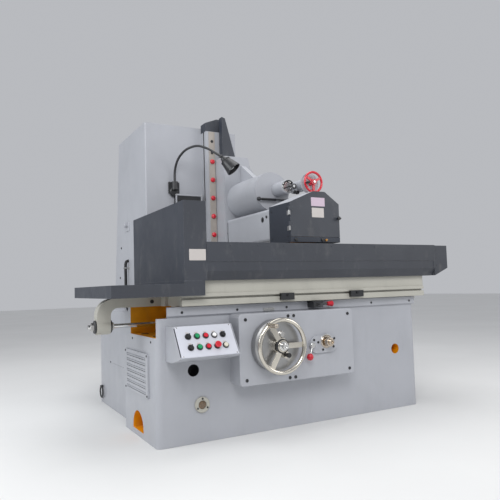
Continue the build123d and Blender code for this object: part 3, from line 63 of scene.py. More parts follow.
class Paint:
    """One procedural material, built up layer by layer on a Principled shader."""

    def __init__(self, name, metallic=0.0, coat=0.0, specular=0.5):
        self.material = bpy.data.materials.new(name)
        self.material.use_nodes = True
        self.tree = self.material.node_tree
        self.shader = self.tree.nodes["Principled BSDF"]
        self.shader.inputs["Metallic"].default_value = metallic
        self.shader.inputs["Coat Weight"].default_value = coat
        self.shader.inputs["Coat Roughness"].default_value = 0.2
        self.shader.inputs["Specular IOR Level"].default_value = specular
        self.place = self.tree.nodes.new("ShaderNodeTexCoord").outputs["Object"]
        self.geometry = self.tree.nodes.new("ShaderNodeNewGeometry")
        self.colour = None
        self.normal = None

    def link(self, source, target):
        self.tree.links.new(source, target)

    def math(self, operation, a, b=0.0, clamp=False):
        node = self.tree.nodes.new("ShaderNodeMath")
        node.operation = operation
        node.use_clamp = clamp
        for socket, value in zip(node.inputs, (a, b)):
            if isinstance(value, (int, float)):
                socket.default_value = value
            else:
                self.link(value, socket)
        return node.outputs[0]

    def noise(self, scale, detail=4.0, stretch=(1, 1, 1), rough=0.55):
        mapping = self.tree.nodes.new("ShaderNodeMapping")
        mapping.inputs["Scale"].default_value = stretch
        self.link(self.place, mapping.inputs["Vector"])
        node = self.tree.nodes.new("ShaderNodeTexNoise")
        node.inputs["Scale"].default_value = scale
        node.inputs["Detail"].default_value = detail
        node.inputs["Roughness"].default_value = rough
        self.link(mapping.outputs[0], node.inputs["Vector"])
        return node.outputs["Fac"]

    def cells(self, scale):
        node = self.tree.nodes.new("ShaderNodeTexVoronoi")
        node.inputs["Scale"].default_value = scale
        self.link(self.place, node.inputs["Vector"])
        return node.outputs["Distance"], node.outputs["Color"]

    def ramp(self, factor, stops):
        node = self.tree.nodes.new("ShaderNodeValToRGB")
        elements = node.color_ramp.elements
        while len(elements) < len(stops):
            elements.new(0.5)
        for element, (position, value) in zip(elements, stops):
            element.position = position
            if isinstance(value, (int, float)):
                value = (value,) * 3
            element.color = (*value, 1.0)
        self.link(factor, node.inputs["Fac"])
        return node.outputs["Color"]

    def mix(self, factor, a, b, blend="MIX"):
        node = self.tree.nodes.new("ShaderNodeMix")
        node.data_type = "RGBA"
        node.blend_type = blend
        if isinstance(factor, (int, float)):
            node.inputs["Factor"].default_value = factor
        else:
            self.link(factor, node.inputs["Factor"])
        for socket, value in ((node.inputs[6], a), (node.inputs[7], b)):
            if isinstance(value, tuple):
                socket.default_value = (*value, 1.0)
            else:
                self.link(value, socket)
        return node.outputs[2]

    def edges(self, radius):
        """Rounded normal, and a 0-1 mask that is 1 on sharp edges."""
        bevel = self.tree.nodes.new("ShaderNodeBevel")
        bevel.samples = 4
        bevel.inputs["Radius"].default_value = radius
        dot = self.tree.nodes.new("ShaderNodeVectorMath")
        dot.operation = "DOT_PRODUCT"
        self.link(bevel.outputs[0], dot.inputs[0])
        self.link(self.geometry.outputs["Normal"], dot.inputs[1])
        self.normal = bevel.outputs[0]
        return self.ramp(dot.outputs["Value"], ((0.80, 1.0), (0.985, 0.0)))

    def within(self, low, high):
        """1 inside a box given in the object's frame, 0 outside."""
        split = self.tree.nodes.new("ShaderNodeSeparateXYZ")
        self.link(self.place, split.inputs[0])
        mask = None
        for i in range(3):
            above = self.math("GREATER_THAN", split.outputs[i], low[i])
            below = self.math("LESS_THAN", split.outputs[i], high[i])
            both = self.math("MULTIPLY", above, below)
            mask = both if mask is None else self.math("MULTIPLY", mask, both)
        return mask

    def bump(self, height, distance, strength=1.0):
        node = self.tree.nodes.new("ShaderNodeBump")
        node.inputs["Distance"].default_value = distance
        node.inputs["Strength"].default_value = strength
        self.link(height, node.inputs["Height"])
        if self.normal is not None:
            self.link(self.normal, node.inputs["Normal"])
        self.normal = node.outputs[0]

    def done(self, colour, rough):
        self.link(colour, self.shader.inputs["Base Color"])
        if isinstance(rough, (int, float)):
            self.shader.inputs["Roughness"].default_value = rough
        else:
            self.link(rough, self.shader.inputs["Roughness"])
        if self.normal is not None:
            self.link(self.normal, self.shader.inputs["Normal"])
        return self.material


def enamel(name, base, regions=(), rough=(0.34, 0.5), grime=0.25, edge=0.003, peel=0.00012, coat=0.15):
    """Sprayed enamel: soft tone drift, orange peel, upright grime streaks and rubbed edges.
    regions are (low, high, colour) boxes painted another colour."""
    p = Paint(name, coat=coat)
    rub = p.edges(edge)
    drift = p.ramp(p.noise(1.6, 5), ((0.3, scaled(base, 0.93)), (0.72, scaled(base, 1.05))))
    for low, high, other in regions:
        tone = p.ramp(p.noise(9, 5), ((0.25, scaled(other, 0.78)), (0.75, scaled(other, 1.08))))
        drift = p.mix(p.within(low, high), drift, tone)
    smear = p.ramp(p.noise(5, 8, (1, 1, 0.35), 0.7), ((0.52, 0.0), (0.78, 1.0)))
    drift = p.mix(p.math("MULTIPLY", smear, grime), drift, scaled(base, 0.62))
    chips = p.math("MULTIPLY", rub, p.ramp(p.noise(70, 6), ((0.45, 0.0), (0.62, 0.8))))
    colour = p.mix(chips, drift, scaled(base, 1.28))
    p.bump(p.noise(260, 2), peel)
    gloss = p.ramp(p.noise(7, 5), ((0.3, rough[0]), (0.75, rough[1])))
    return p.done(colour, gloss)


def texture_coat(name, base, rough=(0.42, 0.6)):
    """Fine-textured powder coat for the dark sheet-metal guards.
    Faces that look left get painted shade: they are darkened and blued."""
    p = Paint(name, coat=0.05)
    rub = p.edges(0.0025)
    drift = p.ramp(p.noise(2.2, 6), ((0.3, scaled(base, 0.82)), (0.75, scaled(base, 1.2))))
    split = p.tree.nodes.new("ShaderNodeSeparateXYZ")
    p.link(p.geometry.outputs["True Normal"], split.inputs[0])
    # painted shade: faces turned to the left are darkened towards a dark blue
    left_face_painted_shade = p.math("MULTIPLY", p.math("LESS_THAN", split.outputs[0], -0.5), 0.8)
    drift = p.mix(left_face_painted_shade, drift, rgb(30, 38, 52))
    fleck = p.ramp(p.noise(900, 1), ((0.4, 0.0), (0.75, 0.5)))
    drift = p.mix(fleck, drift, scaled(base, 1.7))
    dust = p.ramp(p.noise(11, 8, (1, 1, 0.4), 0.7), ((0.55, 0.0), (0.85, 0.30)))
    drift = p.mix(dust, drift, rgb(140, 138, 134))
    worn = p.math("MULTIPLY", rub, p.ramp(p.noise(90, 5), ((0.42, 0.1), (0.6, 0.85))))
    colour = p.mix(worn, drift, rgb(140, 143, 148))
    p.bump(p.noise(620, 2), 0.0002)
    gloss = p.ramp(p.noise(6, 5), ((0.3, rough[0]), (0.75, rough[1])))
    return p.done(colour, gloss)


def metal(name, base, rough=(0.18, 0.34), brush=None, smudge=0.35, edge=0.0012, depth=0.00003):
    """Machined or plated metal. brush is the stretch of its tool marks."""
    p = Paint(name, metallic=1.0)
    rub = p.edges(edge)
    tone = p.ramp(p.noise(4, 5), ((0.3, scaled(base, 0.86)), (0.75, scaled(base, 1.06))))
    film = p.ramp(p.noise(14, 7, (1, 1, 1), 0.7), ((0.5, 0.0), (0.8, smudge)))
    tone = p.mix(film, tone, scaled(base, 0.55))
    colour = p.mix(p.math("MULTIPLY", rub, 0.5), tone, scaled(base, 1.35))
    if brush:
        marks = p.noise(180, 3, brush)
        p.bump(marks, depth)
        gloss = p.ramp(marks, ((0.3, rough[0]), (0.7, rough[1])))
    else:
        gloss = p.ramp(p.noise(22, 6), ((0.35, rough[0]), (0.75, rough[1])))
    return p.done(colour, gloss)


def moulded(name, base, rough=(0.25, 0.4), coat=0.2, grain=0.00006):
    """Moulded plastic with a faint grain, scuffs and lighter rubbed edges."""
    p = Paint(name, coat=coat)
    rub = p.edges(0.001)
    tone = p.ramp(p.noise(30, 4), ((0.3, scaled(base, 0.85)), (0.75, scaled(base, 1.12))))
    scuff = p.ramp(p.noise(160, 5, (1, 0.3, 1)), ((0.58, 0.0), (0.8, 0.35)))
    tone = p.mix(scuff, tone, scaled(base, 1.5))
    colour = p.mix(p.math("MULTIPLY", rub, 0.3), tone, scaled(base, 1.6))
    p.bump(p.noise(1400, 2), grain)
    return p.done(colour, p.ramp(p.noise(40, 4), ((0.3, rough[0]), (0.75, rough[1]))))


def blank_label(name, base):
    """Thin printed plate, left blank."""
    return enamel(name, base, rough=(0.3, 0.45), grime=0.15, edge=0.0006, peel=0.00003)


GREY = rgb(171, 173, 179)
YELLOW = rgb(236, 160, 12)
# painted shade: near-black for the inside of a recessed hole
HOLE_PAINTED_SHADE = rgb(32, 32, 34)
WARM = rgb(180, 178, 168)
BED_LOW, BED_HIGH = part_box("bed_casting")
# inside of the left pocket, the arched recess in the left end, and the two round holes in the front; the left
# hole's inside is painted near-black as painted shade
BED_ZONES = (
    ((BED_LOW.x + 0.0006, -0.3375, 0.664), (BED_LOW.x + 0.4006, 0.1706, BED_HIGH.z - 0.0006), YELLOW),
    ((BED_LOW.x + 0.0006, -0.087, 0.036), (BED_LOW.x + 0.1106, 0.143, 0.168), YELLOW),
    ((0.8195, BED_LOW.y + 0.0006, 0.4115), (0.8965, BED_LOW.y + 0.1206, 0.4885), YELLOW),
    ((-0.8705, BED_LOW.y + 0.0006, 0.4115), (-0.7935, BED_LOW.y + 0.1206, 0.4885), HOLE_PAINTED_SHADE),
)
GUIDE_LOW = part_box("column_casting")[0]
# face of the rail on the guide's front, and the groove down the guide's left side, painted dark as painted shade
GUIDE_ZONES = (
    ((-0.2056, GUIDE_LOW.y - 0.001, 0.82), (-0.1484, GUIDE_LOW.y + 0.0076, 2.34), rgb(176, 168, 160)),
    # painted shade: a dark band where the groove's shadow falls
    ((-0.231, 0.7355, 0.80), (-0.2062, 0.7545, 2.34), rgb(70, 66, 66)),
)

MAT = {
    "body_paint": enamel("body_enamel", GREY),
    "bed_paint": enamel("bed_enamel", GREY, BED_ZONES),
    "column_paint": enamel("column_enamel", GREY, GUIDE_ZONES),
    "slate_paint": texture_coat("slate_powder_coat", rgb(54, 57, 64)),
    "table_paint": enamel("table_enamel", WARM, grime=0.35),
    "panel_plate": enamel("panel_enamel", rgb(206, 208, 217), rough=(0.28, 0.4), grime=0.1),
    "chrome": metal("bright_chrome", (0.78, 0.78, 0.77), (0.06, 0.16), smudge=0.2),
    "ground_steel": metal("ground_steel", (0.56, 0.56, 0.55), (0.2, 0.38), (1, 14, 1)),
    "turned_steel": metal("turned_steel", (0.62, 0.61, 0.59), (0.12, 0.3), (14, 1, 14)),
    "satin_steel": metal("satin_steel", (0.42, 0.42, 0.42), (0.3, 0.45), (14, 1, 14)),
    "nickel": metal("warm_nickel", (0.62, 0.54, 0.45), (0.14, 0.28)),
    # painted reflection: the plating's warm cream tint copies the colour of reflections on a chrome rim
    "plated": metal("plated_wheel_painted_reflection", (0.72, 0.68, 0.60), (0.12, 0.26), smudge=0.25),
    "bronze": metal("bronze", rgb(176, 132, 76), (0.2, 0.4)),
    "black_metal": enamel("black_enamel", rgb(34, 35, 38), rough=(0.3, 0.45), grime=0.1, edge=0.0012),
    "black_plastic": moulded("black_moulding", rgb(28, 28, 30), (0.3, 0.5)),
    "red_plastic": moulded("red_moulding", rgb(205, 20, 44), (0.16, 0.3), 0.5),
    "green_plastic": moulded("green_moulding", rgb(14, 150, 92), (0.16, 0.3), 0.5),
    "ivory_plastic": moulded("ivory_moulding", rgb(226, 222, 204), (0.2, 0.35), 0.4),
    "white_plastic": moulded("white_moulding", rgb(240, 240, 240), (0.15, 0.3), 0.5),
    "label": blank_label("blank_label", rgb(196, 190, 186)),
    "label_rose": blank_label("blank_label_rose", rgb(200, 180, 196)),
    "rubber": moulded("black_rubber", rgb(24, 24, 26), (0.5, 0.7), 0.0, 0.0002),
}


def abrasive():
    """Vitrified wheel: coarse bonded grit in several tones."""
    p = Paint("abrasive_grit")
    distance, tint = p.cells(520)
    grit = p.ramp(tint, ((0.1, rgb(112, 66, 40)), (0.5, rgb(166, 104, 64)), (0.95, rgb(206, 160, 120))))
    glaze = p.ramp(p.noise(12, 6), ((0.5, 0.0), (0.8, 0.4)))
    colour = p.mix(glaze, grit, rgb(92, 78, 68))
    p.bump(distance, 0.0009)
    return p.done(colour, p.ramp(p.noise(40, 3), ((0.3, 0.75), (0.7, 0.95))))


def ground_top():
    """Magnetic chuck: bright ground top with fine cross grinding, warm poles."""
    p = Paint("chuck_steel", metallic=1.0)
    rub = p.edges(0.0015)
    marks = p.noise(240, 3, (0.05, 3.5, 1))
    tone = p.ramp(p.noise(3, 6), ((0.3, (0.42, 0.42, 0.42)), (0.75, (0.6, 0.6, 0.59))))
    tone = p.mix(p.ramp(marks, ((0.4, 0.0), (0.7, 0.35))), tone, (0.72, 0.72, 0.71))
    spots = p.ramp(p.noise(26, 8, (1, 1, 1), 0.75), ((0.6, 0.0), (0.8, 0.4)))
    tone = p.mix(spots, tone, rgb(112, 92, 76))
    colour = p.mix(p.math("MULTIPLY", rub, 0.5), tone, (0.8, 0.8, 0.8))
    p.bump(marks, 0.00004)
    return p.done(colour, p.ramp(marks, ((0.3, 0.2), (0.7, 0.42))))


def frosted_glass():
    """Bulb: pale glass that lets some light through."""
    p = Paint("frosted_glass", coat=0.4)
    p.shader.inputs["Transmission Weight"].default_value = 0.35
    p.shader.inputs["IOR"].default_value = 1.45
    tone = p.ramp(p.noise(40, 3), ((0.3, (0.78, 0.80, 0.78)), (0.7, (0.92, 0.93, 0.90))))
    return p.done(tone, p.ramp(p.noise(80, 3), ((0.3, 0.25), (0.7, 0.45))))


def amber_glass():
    """Oil sight: dark amber oil behind a glossy glass."""
    p = Paint("amber_oil_glass", coat=0.8)
    tone = p.ramp(p.noise(60, 5), ((0.3, rgb(66, 50, 34)), (0.75, rgb(128, 104, 78))))
    return p.done(tone, p.ramp(p.noise(50, 3), ((0.3, 0.05), (0.7, 0.15))))


MAT["abrasive"] = abrasive()
MAT["chuck"] = ground_top()
MAT["glass"] = frosted_glass()
MAT["amber"] = amber_glass()


def hood_material():
    """Dark hood whose sloped and top faces are left in the head's light enamel."""
    p = Paint("hood_coat", coat=0.08)
    rub = p.edges(0.0025)
    base = rgb(38, 44, 56)
    tone = p.ramp(p.noise(2.2, 6), ((0.3, scaled(base, 0.85)), (0.75, scaled(base, 1.15))))
    split = p.tree.nodes.new("ShaderNodeSeparateXYZ")
    p.link(p.geometry.outputs["True Normal"], split.inputs[0])
    up = p.math("GREATER_THAN", split.outputs[2], 0.3)
    zone = p.within((-0.2, -0.4325, 1.535), (0.4, -0.1, 1.70))
    light = p.ramp(p.noise(3, 4), ((0.3, scaled(GREY, 0.98)), (0.7, scaled(GREY, 1.12))))
    tone = p.mix(p.math("MULTIPLY", up, zone), tone, light)
    worn = p.math("MULTIPLY", rub, p.ramp(p.noise(90, 5), ((0.42, 0.1), (0.6, 0.8))))
    colour = p.mix(worn, tone, rgb(140, 143, 148))
    p.bump(p.noise(620, 2), 0.00015)
    return p.done(colour, p.ramp(p.noise(6, 5), ((0.3, 0.4), (0.75, 0.58))))


MAT["hood"] = hood_material()


def lever_material(name, base, metallic, low, high):
    """Metal lever whose grip, inside a box, is glossy red moulding."""
    p = Paint(name, coat=0.3)
    grip = p.within(low, high)
    tone = p.ramp(p.noise(30, 4), ((0.3, scaled(base, 0.85)), (0.75, scaled(base, 1.1))))
    red = p.ramp(p.noise(24, 4), ((0.3, rgb(186, 16, 40)), (0.75, rgb(214, 24, 48))))
    p.link(p.ramp(grip, ((0.0, metallic), (1.0, 0.0))), p.shader.inputs["Metallic"])
    p.edges(0.001)
    p.bump(p.noise(500, 2), 0.00003)
    return p.done(p.mix(grip, tone, red), p.ramp(p.noise(30, 4), ((0.3, 0.16), (0.75, 0.3))))


SPARE = 0.01
BALL_HEIGHT = 0.0455
CONE_LENGTH = 0.0425
FEED_LOW, FEED_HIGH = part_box("feed_lever")
MAT["feed_lever"] = lever_material(
    "feed_lever_metal",
    (0.66, 0.66, 0.65),
    1.0,
    FEED_LOW - Vector((SPARE, SPARE, SPARE)),
    (FEED_HIGH.x + SPARE, FEED_HIGH.y + SPARE, FEED_LOW.z + BALL_HEIGHT),
)
REVERSE_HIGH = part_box("reversing_lever")[1]
MAT["reversing_lever"] = lever_material(
    "reversing_lever_metal",
    (0.03, 0.03, 0.032),
    0.0,
    (REVERSE_HIGH.x - CONE_LENGTH, -1.0, 0.0),
    REVERSE_HIGH + Vector((SPARE, SPARE, SPARE)),
)

OWN = {
    "bed_casting": "bed_paint",
    "column_casting": "column_paint",
    "wheel_hood": "hood",
    "magnetic_chuck": "chuck",
    "dial_drum": "satin_steel",
    "handwheel": "plated",
    "crank_grip": "nickel",
    "feed_lever": "feed_lever",
    "reversing_lever": "reversing_lever",
    "spindle": "turned_steel",
    "throttle_knob": "nickel",
    "wheel_flange": "turned_steel",
    "door_hinges": "satin_steel",
    "operator_bezels": "black_plastic",
}
for entry in RECORD["subparts"]:
    node = NODES[entry["node"]]
    key = OWN.get(entry["node"], entry["material_slot"])
    node.data.materials.clear()
    node.data.materials.append(MAT[key])


# ---------------------------------------------------------------- shape tools
def axes(normal, along=None):
    """Two unit vectors across a normal."""
    n = Vector(normal).normalized()
    helper = Vector(along) if along else (Vector((0, 0, 1)) if abs(n.z) < 0.9 else Vector((1, 0, 0)))
    u = (helper - n * helper.dot(n)).normalized()
    return n, u, n.cross(u)


def turned(bm, place, normal, profile, steps=36):
    """Adds a turned shape: profile is (radius, height) pairs from base to top."""
    n, u, v = axes(normal)
    place = Vector(place)
    rings = []
    for radius, height in profile:
        centre = place + n * height
        if radius < 1e-7:
            rings.append([bm.verts.new(centre)])
            continue
        ring = []
        for step in range(steps):
            a = 2 * math.pi * step / steps
            ring.append(bm.verts.new(centre + (u * math.cos(a) + v * math.sin(a)) * radius))
        rings.append(ring)
    for low, high in zip(rings, rings[1:]):
        for step in range(steps):
            nxt = (step + 1) % steps
            if len(low) == 1 and len(high) == 1:
                continue
            if len(low) == 1:
                bm.faces.new((low[0], high[nxt], high[step]))
            elif len(high) == 1:
                bm.faces.new((low[step], low[nxt], high[0]))
            else:
                bm.faces.new((low[step], low[nxt], high[nxt], high[step]))


def rounded_outline(width, height, corner, per_corner=5):
    """Points round a rectangle whose corners are arcs."""
    points = []
    for cx, cy, first in ((1, 1, 0), (-1, 1, 90), (-1, -1, 180), (1, -1, 270)):
        for step in range(per_corner + 1):
            a = math.radians(first + 90 * step / per_corner)
            x = cx * (width / 2 - corner) + corner * math.cos(a)
            y = cy * (height / 2 - corner) + corner * math.sin(a)
            points.append((x, y))
    return points


def plate(bm, place, normal, along, size, thick, corner=0.003, edge=0.0006):
    """Adds a rounded plate with an eased front edge. along is the direction of its width."""
    n, u, v = axes(normal, along)
    place = Vector(place)
    width, height = size
    rings = []
    for inset, lift in ((0, 0), (0, thick - edge), (edge, thick)):
        outline = rounded_outline(width - 2 * inset, height - 2 * inset, max(corner - inset, 0.0002))
        rings.append([bm.verts.new(place + u * x + v * y + n * lift) for x, y in outline])
    count = len(rings[0])
    for low, high in zip(rings, rings[1:]):
        for i in range(count):
            j = (i + 1) % count
            bm.faces.new((low[i], low[j], high[j], high[i]))
    bm.faces.new(list(reversed(rings[0])))
    bm.faces.new(rings[-1])


def bent_tube(bm, points, radius, sides=16, per=8, closed=False):
    """Adds a tube along a smooth curve (Catmull-Rom) through the points."""
    pts = [Vector(p) for p in points]
    path = []
    count = len(pts)
    spans = count if closed else count - 1
    for i in range(spans):
        if closed:
            a, b, c, d = (pts[(i + k) % count] for k in (-1, 0, 1, 2))
        else:
            b, c = pts[i], pts[i + 1]
            a = pts[i - 1] if i else b * 2 - c
            d = pts[i + 2] if i + 2 < count else c * 2 - b
        for step in range(per):
            t = step / per
            bend = (2 * a - 5 * b + 4 * c - d) * t * t
            twist = (3 * b - a - 3 * c + d) * t**3
            path.append(0.5 * ((2 * b) + (c - a) * t + bend + twist))
    if not closed:
        path.append(pts[-1])
    rings = []
    up = None
    for i, place in enumerate(path):
        after = path[(i + 1) % len(path)] if closed or i + 1 < len(path) else place
        before = path[i - 1] if closed or i else place
        forward = (after - before).normalized()
        if up is None:
            up = axes(forward)[1]
        up = (up - forward * up.dot(forward)).normalized()
        side = forward.cross(up)
        ring = []
        for k in range(sides):
            a = 2 * math.pi * k / sides
            ring.append(bm.verts.new(place + (up * math.cos(a) + side * math.sin(a)) * radius))
        rings.append(ring)
    pairs = list(zip(rings, rings[1:]))
    if closed:
        pairs.append((rings[-1], rings[0]))
    for low, high in pairs:
        for k in range(sides):
            j = (k + 1) % sides
            bm.faces.new((low[k], low[j], high[j], high[k]))
    if not closed:
        bm.faces.new(list(reversed(rings[0])))
        bm.faces.new(rings[-1])


def piece(name, bm, body, finish, sharp=35):
    """Turns a mesh under construction into a piece that rides on a body."""
    bmesh.ops.recalc_face_normals(bm, faces=bm.faces)
    for face in bm.faces:
        face.smooth = True
    for e in bm.edges:
        e.smooth = not (e.is_manifold and math.degrees(e.calc_face_angle(0.0)) > sharp)
    mesh = bpy.data.meshes.new(name)
    bm.to_mesh(mesh)
    bm.free()
    thing = bpy.data.objects.new(name, mesh)
    bpy.context.scene.collection.objects.link(thing)
    mesh.materials.append(MAT[finish])
    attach(thing, body)
    return thing


def socket_profile(radius, height):
    """Socket-head screw: chamfered head with a deep hexagon-sized recess."""
    chamfer = radius * 0.14
    return (
        (0, -0.0004),
        (radius, -0.0004),
        (radius, height - chamfer),
        (radius - chamfer, height),
        (radius * 0.56, height),
        (radius * 0.52, height * 0.35),
        (0, height * 0.35),
    )


def dome_profile(radius, height):
    """Pressed plug: low skirt, then a rounded crown."""
    out = [(0, -0.0004), (radius, -0.0004), (radius, height * 0.3)]
    for step in range(1, 6):
        a = math.radians(90 * step / 6)
        out.append((radius * math.cos(a), height * (0.3 + 0.7 * math.sin(a))))
    out.append((0, height))
    return out


def screws(name, places, normal, radius, height, body, finish="black_metal"):
    """A group of socket-head screws as one piece."""
    bm = bmesh.new()
    for place in places:
        turned(bm, place, normal, socket_profile(radius, height), 24)
    return piece(name, bm, body, finish)


FRONT = (0, -1, 0)
END = (-1, 0, 0)
TOP = (0, 0, 1)
ALONG_X = (1, 0, 0)
ALONG_Y = (0, 1, 0)
ALONG_Z = (0, 0, 1)
HEX_SHARP = 20


def turned_piece(name, place, normal, profile, steps, body, finish, sharp=35):
    """One turned shape as a piece of its own."""
    bm = bmesh.new()
    turned(bm, place, normal, profile, steps)
    return piece(name, bm, body, finish, sharp)


def plate_piece(name, place, normal, along, size, thick, corner, edge, body, finish):
    """One plate as a piece of its own."""
    bm = bmesh.new()
    plate(bm, place, normal, along, size, thick, corner, edge)
    return piece(name, bm, body, finish)


def tube_piece(name, points, radius, sides, per, closed, body, finish):
    """One bent tube as a piece of its own."""
    bm = bmesh.new()
    bent_tube(bm, points, radius, sides, per, closed)
    return piece(name, bm, body, finish)


def around(centre, radius, degrees, lift=0.0):
    """Points on an upright circle that faces the front, each lift metres nearer to the back."""
    x, y, z = centre
    turns = [math.radians(a) for a in degrees]
    return [(x + radius * math.cos(a), y + lift, z + radius * math.sin(a)) for a in turns]


# ---------------------------------------------------------------- bed
STRIP_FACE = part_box("front_strip")[0].y
STRIP_SCREW_Z = 0.815
screws(
    "strip_screws",
    [(x, STRIP_FACE, STRIP_SCREW_Z) for x in (-0.907, -0.519, -0.135, 0.249, 0.625, 1.015)],
    FRONT, 0.0085, 0.003, "bed",
)
FACE = -0.494
APRON_FLANGE = 0.012
screws(
    "apron_screws",
    [(x, FACE, z) for x, z in (
        (-0.528, 0.754), (-0.528, 0.372), (0.292, 0.754), (0.292, 0.372),
        (-0.206, 0.762), (-0.162, 0.762), (-0.206, 0.358), (-0.162, 0.358),
    )],
    FRONT, 0.011, 0.004, "bed",
)
screws(
    "apron_flange_screws",
    [(x, FACE - APRON_FLANGE, z) for x, z in (
        (-0.012, 0.590), (0.022, 0.572), (0.158, 0.590), (0.150, 0.535), (0.060, 0.520),
    )],
    FRONT, 0.008, 0.004, "bed",
)

# oil sight on the lower left of the bed's front
SIGHT = Vector((-0.780, BED_LOW.y, 0.233))
SIGHT_SCREW_RADIUS = 0.038
turned_piece(
    "oil_sight_ring", SIGHT, FRONT,
    (
        (0, -0.0004), (0.050, -0.0004), (0.050, 0.009), (0.046, 0.013),
        (0.028, 0.013), (0.026, 0.006), (0, 0.006),
    ),
    48, "bed", "table_paint",
)
turned_piece(
    "oil_sight_glass", SIGHT, FRONT,
    ((0, 0.004), (0.0255, 0.004), (0.0255, 0.008), (0.02, 0.0105), (0, 0.0115)),
    40, "bed", "amber",
)
screws(
    "oil_sight_screws",
    around(SIGHT, SIGHT_SCREW_RADIUS, (90, 210, 330), -0.0128),
    FRONT, 0.006, 0.003, "bed",
)

# left end of the bed: fixing screws of the louvred cover and of the pocket's cover strip
LEFT = BED_LOW.x
COVER_THICK = 0.012
screws(
    "end_cover_screws",
    [(LEFT, y, 0.636) for y in (0.131, -0.261)]
    + [(LEFT - COVER_THICK, y, z) for z in (0.545, 0.295) for y in (0.262, -0.205)],
    END, 0.007, 0.003, "bed",
)
POCKET_FLOOR = 0.664
bm = bmesh.new()
for y in (-0.20, 0.04):
    plate(bm, (LEFT + 0.06, y, POCKET_FLOOR + 0.0008), TOP, ALONG_X, (0.05, 0.02), 0.004, 0.002)
piece("pocket_drain_plates", bm, "bed", "black_metal")

# rear bed: blanked slot, screw, tie ring and clip
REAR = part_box("rear_bed")[0].x
RING_Y, RING_Z, RING_RADIUS = 1.27, 0.092, 0.046
plate_piece(
    "rear_bed_slot_cover", (REAR, 0.784, 0.367), END, ALONG_Y, (0.32, 0.012), 0.0015, 0.005, 0.0006,
    "bed", "body_paint",
)
screws("rear_bed_screw", [(REAR, 1.001, 0.375)], END, 0.007, 0.003, "bed")
turns = [2 * math.pi * k / 12 for k in range(12)]
tube_piece(
    "tie_ring",
    [(REAR - 0.014, RING_Y + RING_RADIUS * math.cos(a), RING_Z + RING_RADIUS * math.sin(a)) for a in turns],
    0.0065, 12, 4, True, "bed", "black_metal",
)
tube_piece(
    "tie_ring_staple",
    [
        (REAR + 0.004, 1.255, 0.142), (REAR - 0.012, 1.258, 0.143), (REAR - 0.023, RING_Y, 0.143),
        (REAR - 0.012, 1.282, 0.143), (REAR + 0.004, 1.285, 0.142),
    ],
    0.005, 12, 6, False, "bed", "black_metal",
)

# small ribbed plate on the bed behind the apron's top edge
RIBBED_Z = 0.806
RIBS = 9
RIB_PITCH = 0.009
bm = bmesh.new()
plate(bm, (-0.278, STRIP_FACE, RIBBED_Z), FRONT, ALONG_X, (0.086, 0.022), 0.004, 0.003)
for k in range(RIBS):
    place = (-0.314 + RIB_PITCH * k, STRIP_FACE - 0.0038, RIBBED_Z)
    plate(bm, place, FRONT, ALONG_Z, (0.018, 0.004), 0.002, 0.0012, 0.0004)
piece("ribbed_plate", bm, "bed", "ground_steel")

# ---------------------------------------------------------------- operator panel
JOINTS = {j["name"]: j for j in frame["joints"]}
PANEL_N = Vector((0.0, -0.179, 0.120)).normalized()
PANEL_UP = Vector((0.0, 0.120, 0.179)).normalized()
OPERATOR_PITCH = 0.057
OPERATOR_COLUMNS = 5
PILOT_COLUMN = 3
selector = [j for j in frame["joints"] if j["child"] == "selector_switch_upper_body"][0]
FIRST = Vector(selector["pos_m"])


def on_panel(column, drop=0.0, lift=0.0):
    """A place on the panel, counted in operator columns from the upper selector switch."""
    return FIRST + Vector((OPERATOR_PITCH * column, 0, 0)) - PANEL_UP * drop + PANEL_N * lift


turned_piece(
    "pilot_lamp", on_panel(PILOT_COLUMN), PANEL_N,
    ((0, 0.0), (0.0138, 0.0), (0.0138, 0.010), (0.0122, 0.0135), (0.0065, 0.0165), (0, 0.017)),
    32, "bed", "white_plastic",
)
bm = bmesh.new()
for column in range(OPERATOR_COLUMNS):
    for drop in (-0.0275, 0.0465):
        plate(bm, on_panel(column, drop, -0.0002), PANEL_N, ALONG_X, (0.022, 0.0065), 0.0007, 0.0012, 0.0002)
piece("operator_label_plates", bm, "bed", "label")
bm = bmesh.new()
for x in (-0.058, 0.290):
    for drop in (-0.066, 0.128):
        turned(bm, FIRST + Vector((x, 0, 0)) - PANEL_UP * drop, PANEL_N, socket_profile(0.0042, 0.0022), 20)
piece("panel_screws", bm, "bed", "turned_steel")

# ---------------------------------------------------------------- arm and piston rod
BOSS_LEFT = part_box("arm_bracket")[0].x
BOSS_LENGTH = 0.087
BOSS_RIGHT = BOSS_LEFT + BOSS_LENGTH
WASHER = 0.012
ROD = (-0.030, 0.735)
bm = bmesh.new()
for x, n in ((BOSS_LEFT, -1), (BOSS_RIGHT, 1)):
    turned(
        bm, (x, *ROD), (n, 0, 0),
        ((0.0145, 0), (0.042, 0), (0.042, 0.009), (0.039, WASHER), (0.0145, WASHER), (0.0145, 0)), 40,
    )
piece("rod_washers", bm, "table", "black_metal")
bm = bmesh.new()
turned(
    bm, (BOSS_LEFT - WASHER, *ROD), END,
    ((0.0142, 0), (0.027, 0), (0.027, 0.018), (0.023, 0.021), (0.0142, 0.021), (0.0142, 0)), 6,
)
turned(
    bm, (BOSS_RIGHT + WASHER, *ROD), ALONG_X,
    ((0.0142, 0), (0.025, 0), (0.025, 0.013), (0.022, 0.015), (0.0142, 0.015), (0.0142, 0)), 6,
)
piece("rod_nuts", bm, "table", "turned_steel", HEX_SHARP)
screws("arm_screws", [(-1.000, -0.0725, 0.884), (-1.000, 0.0125, 0.884)], FRONT, 0.013, 0.004, "table")

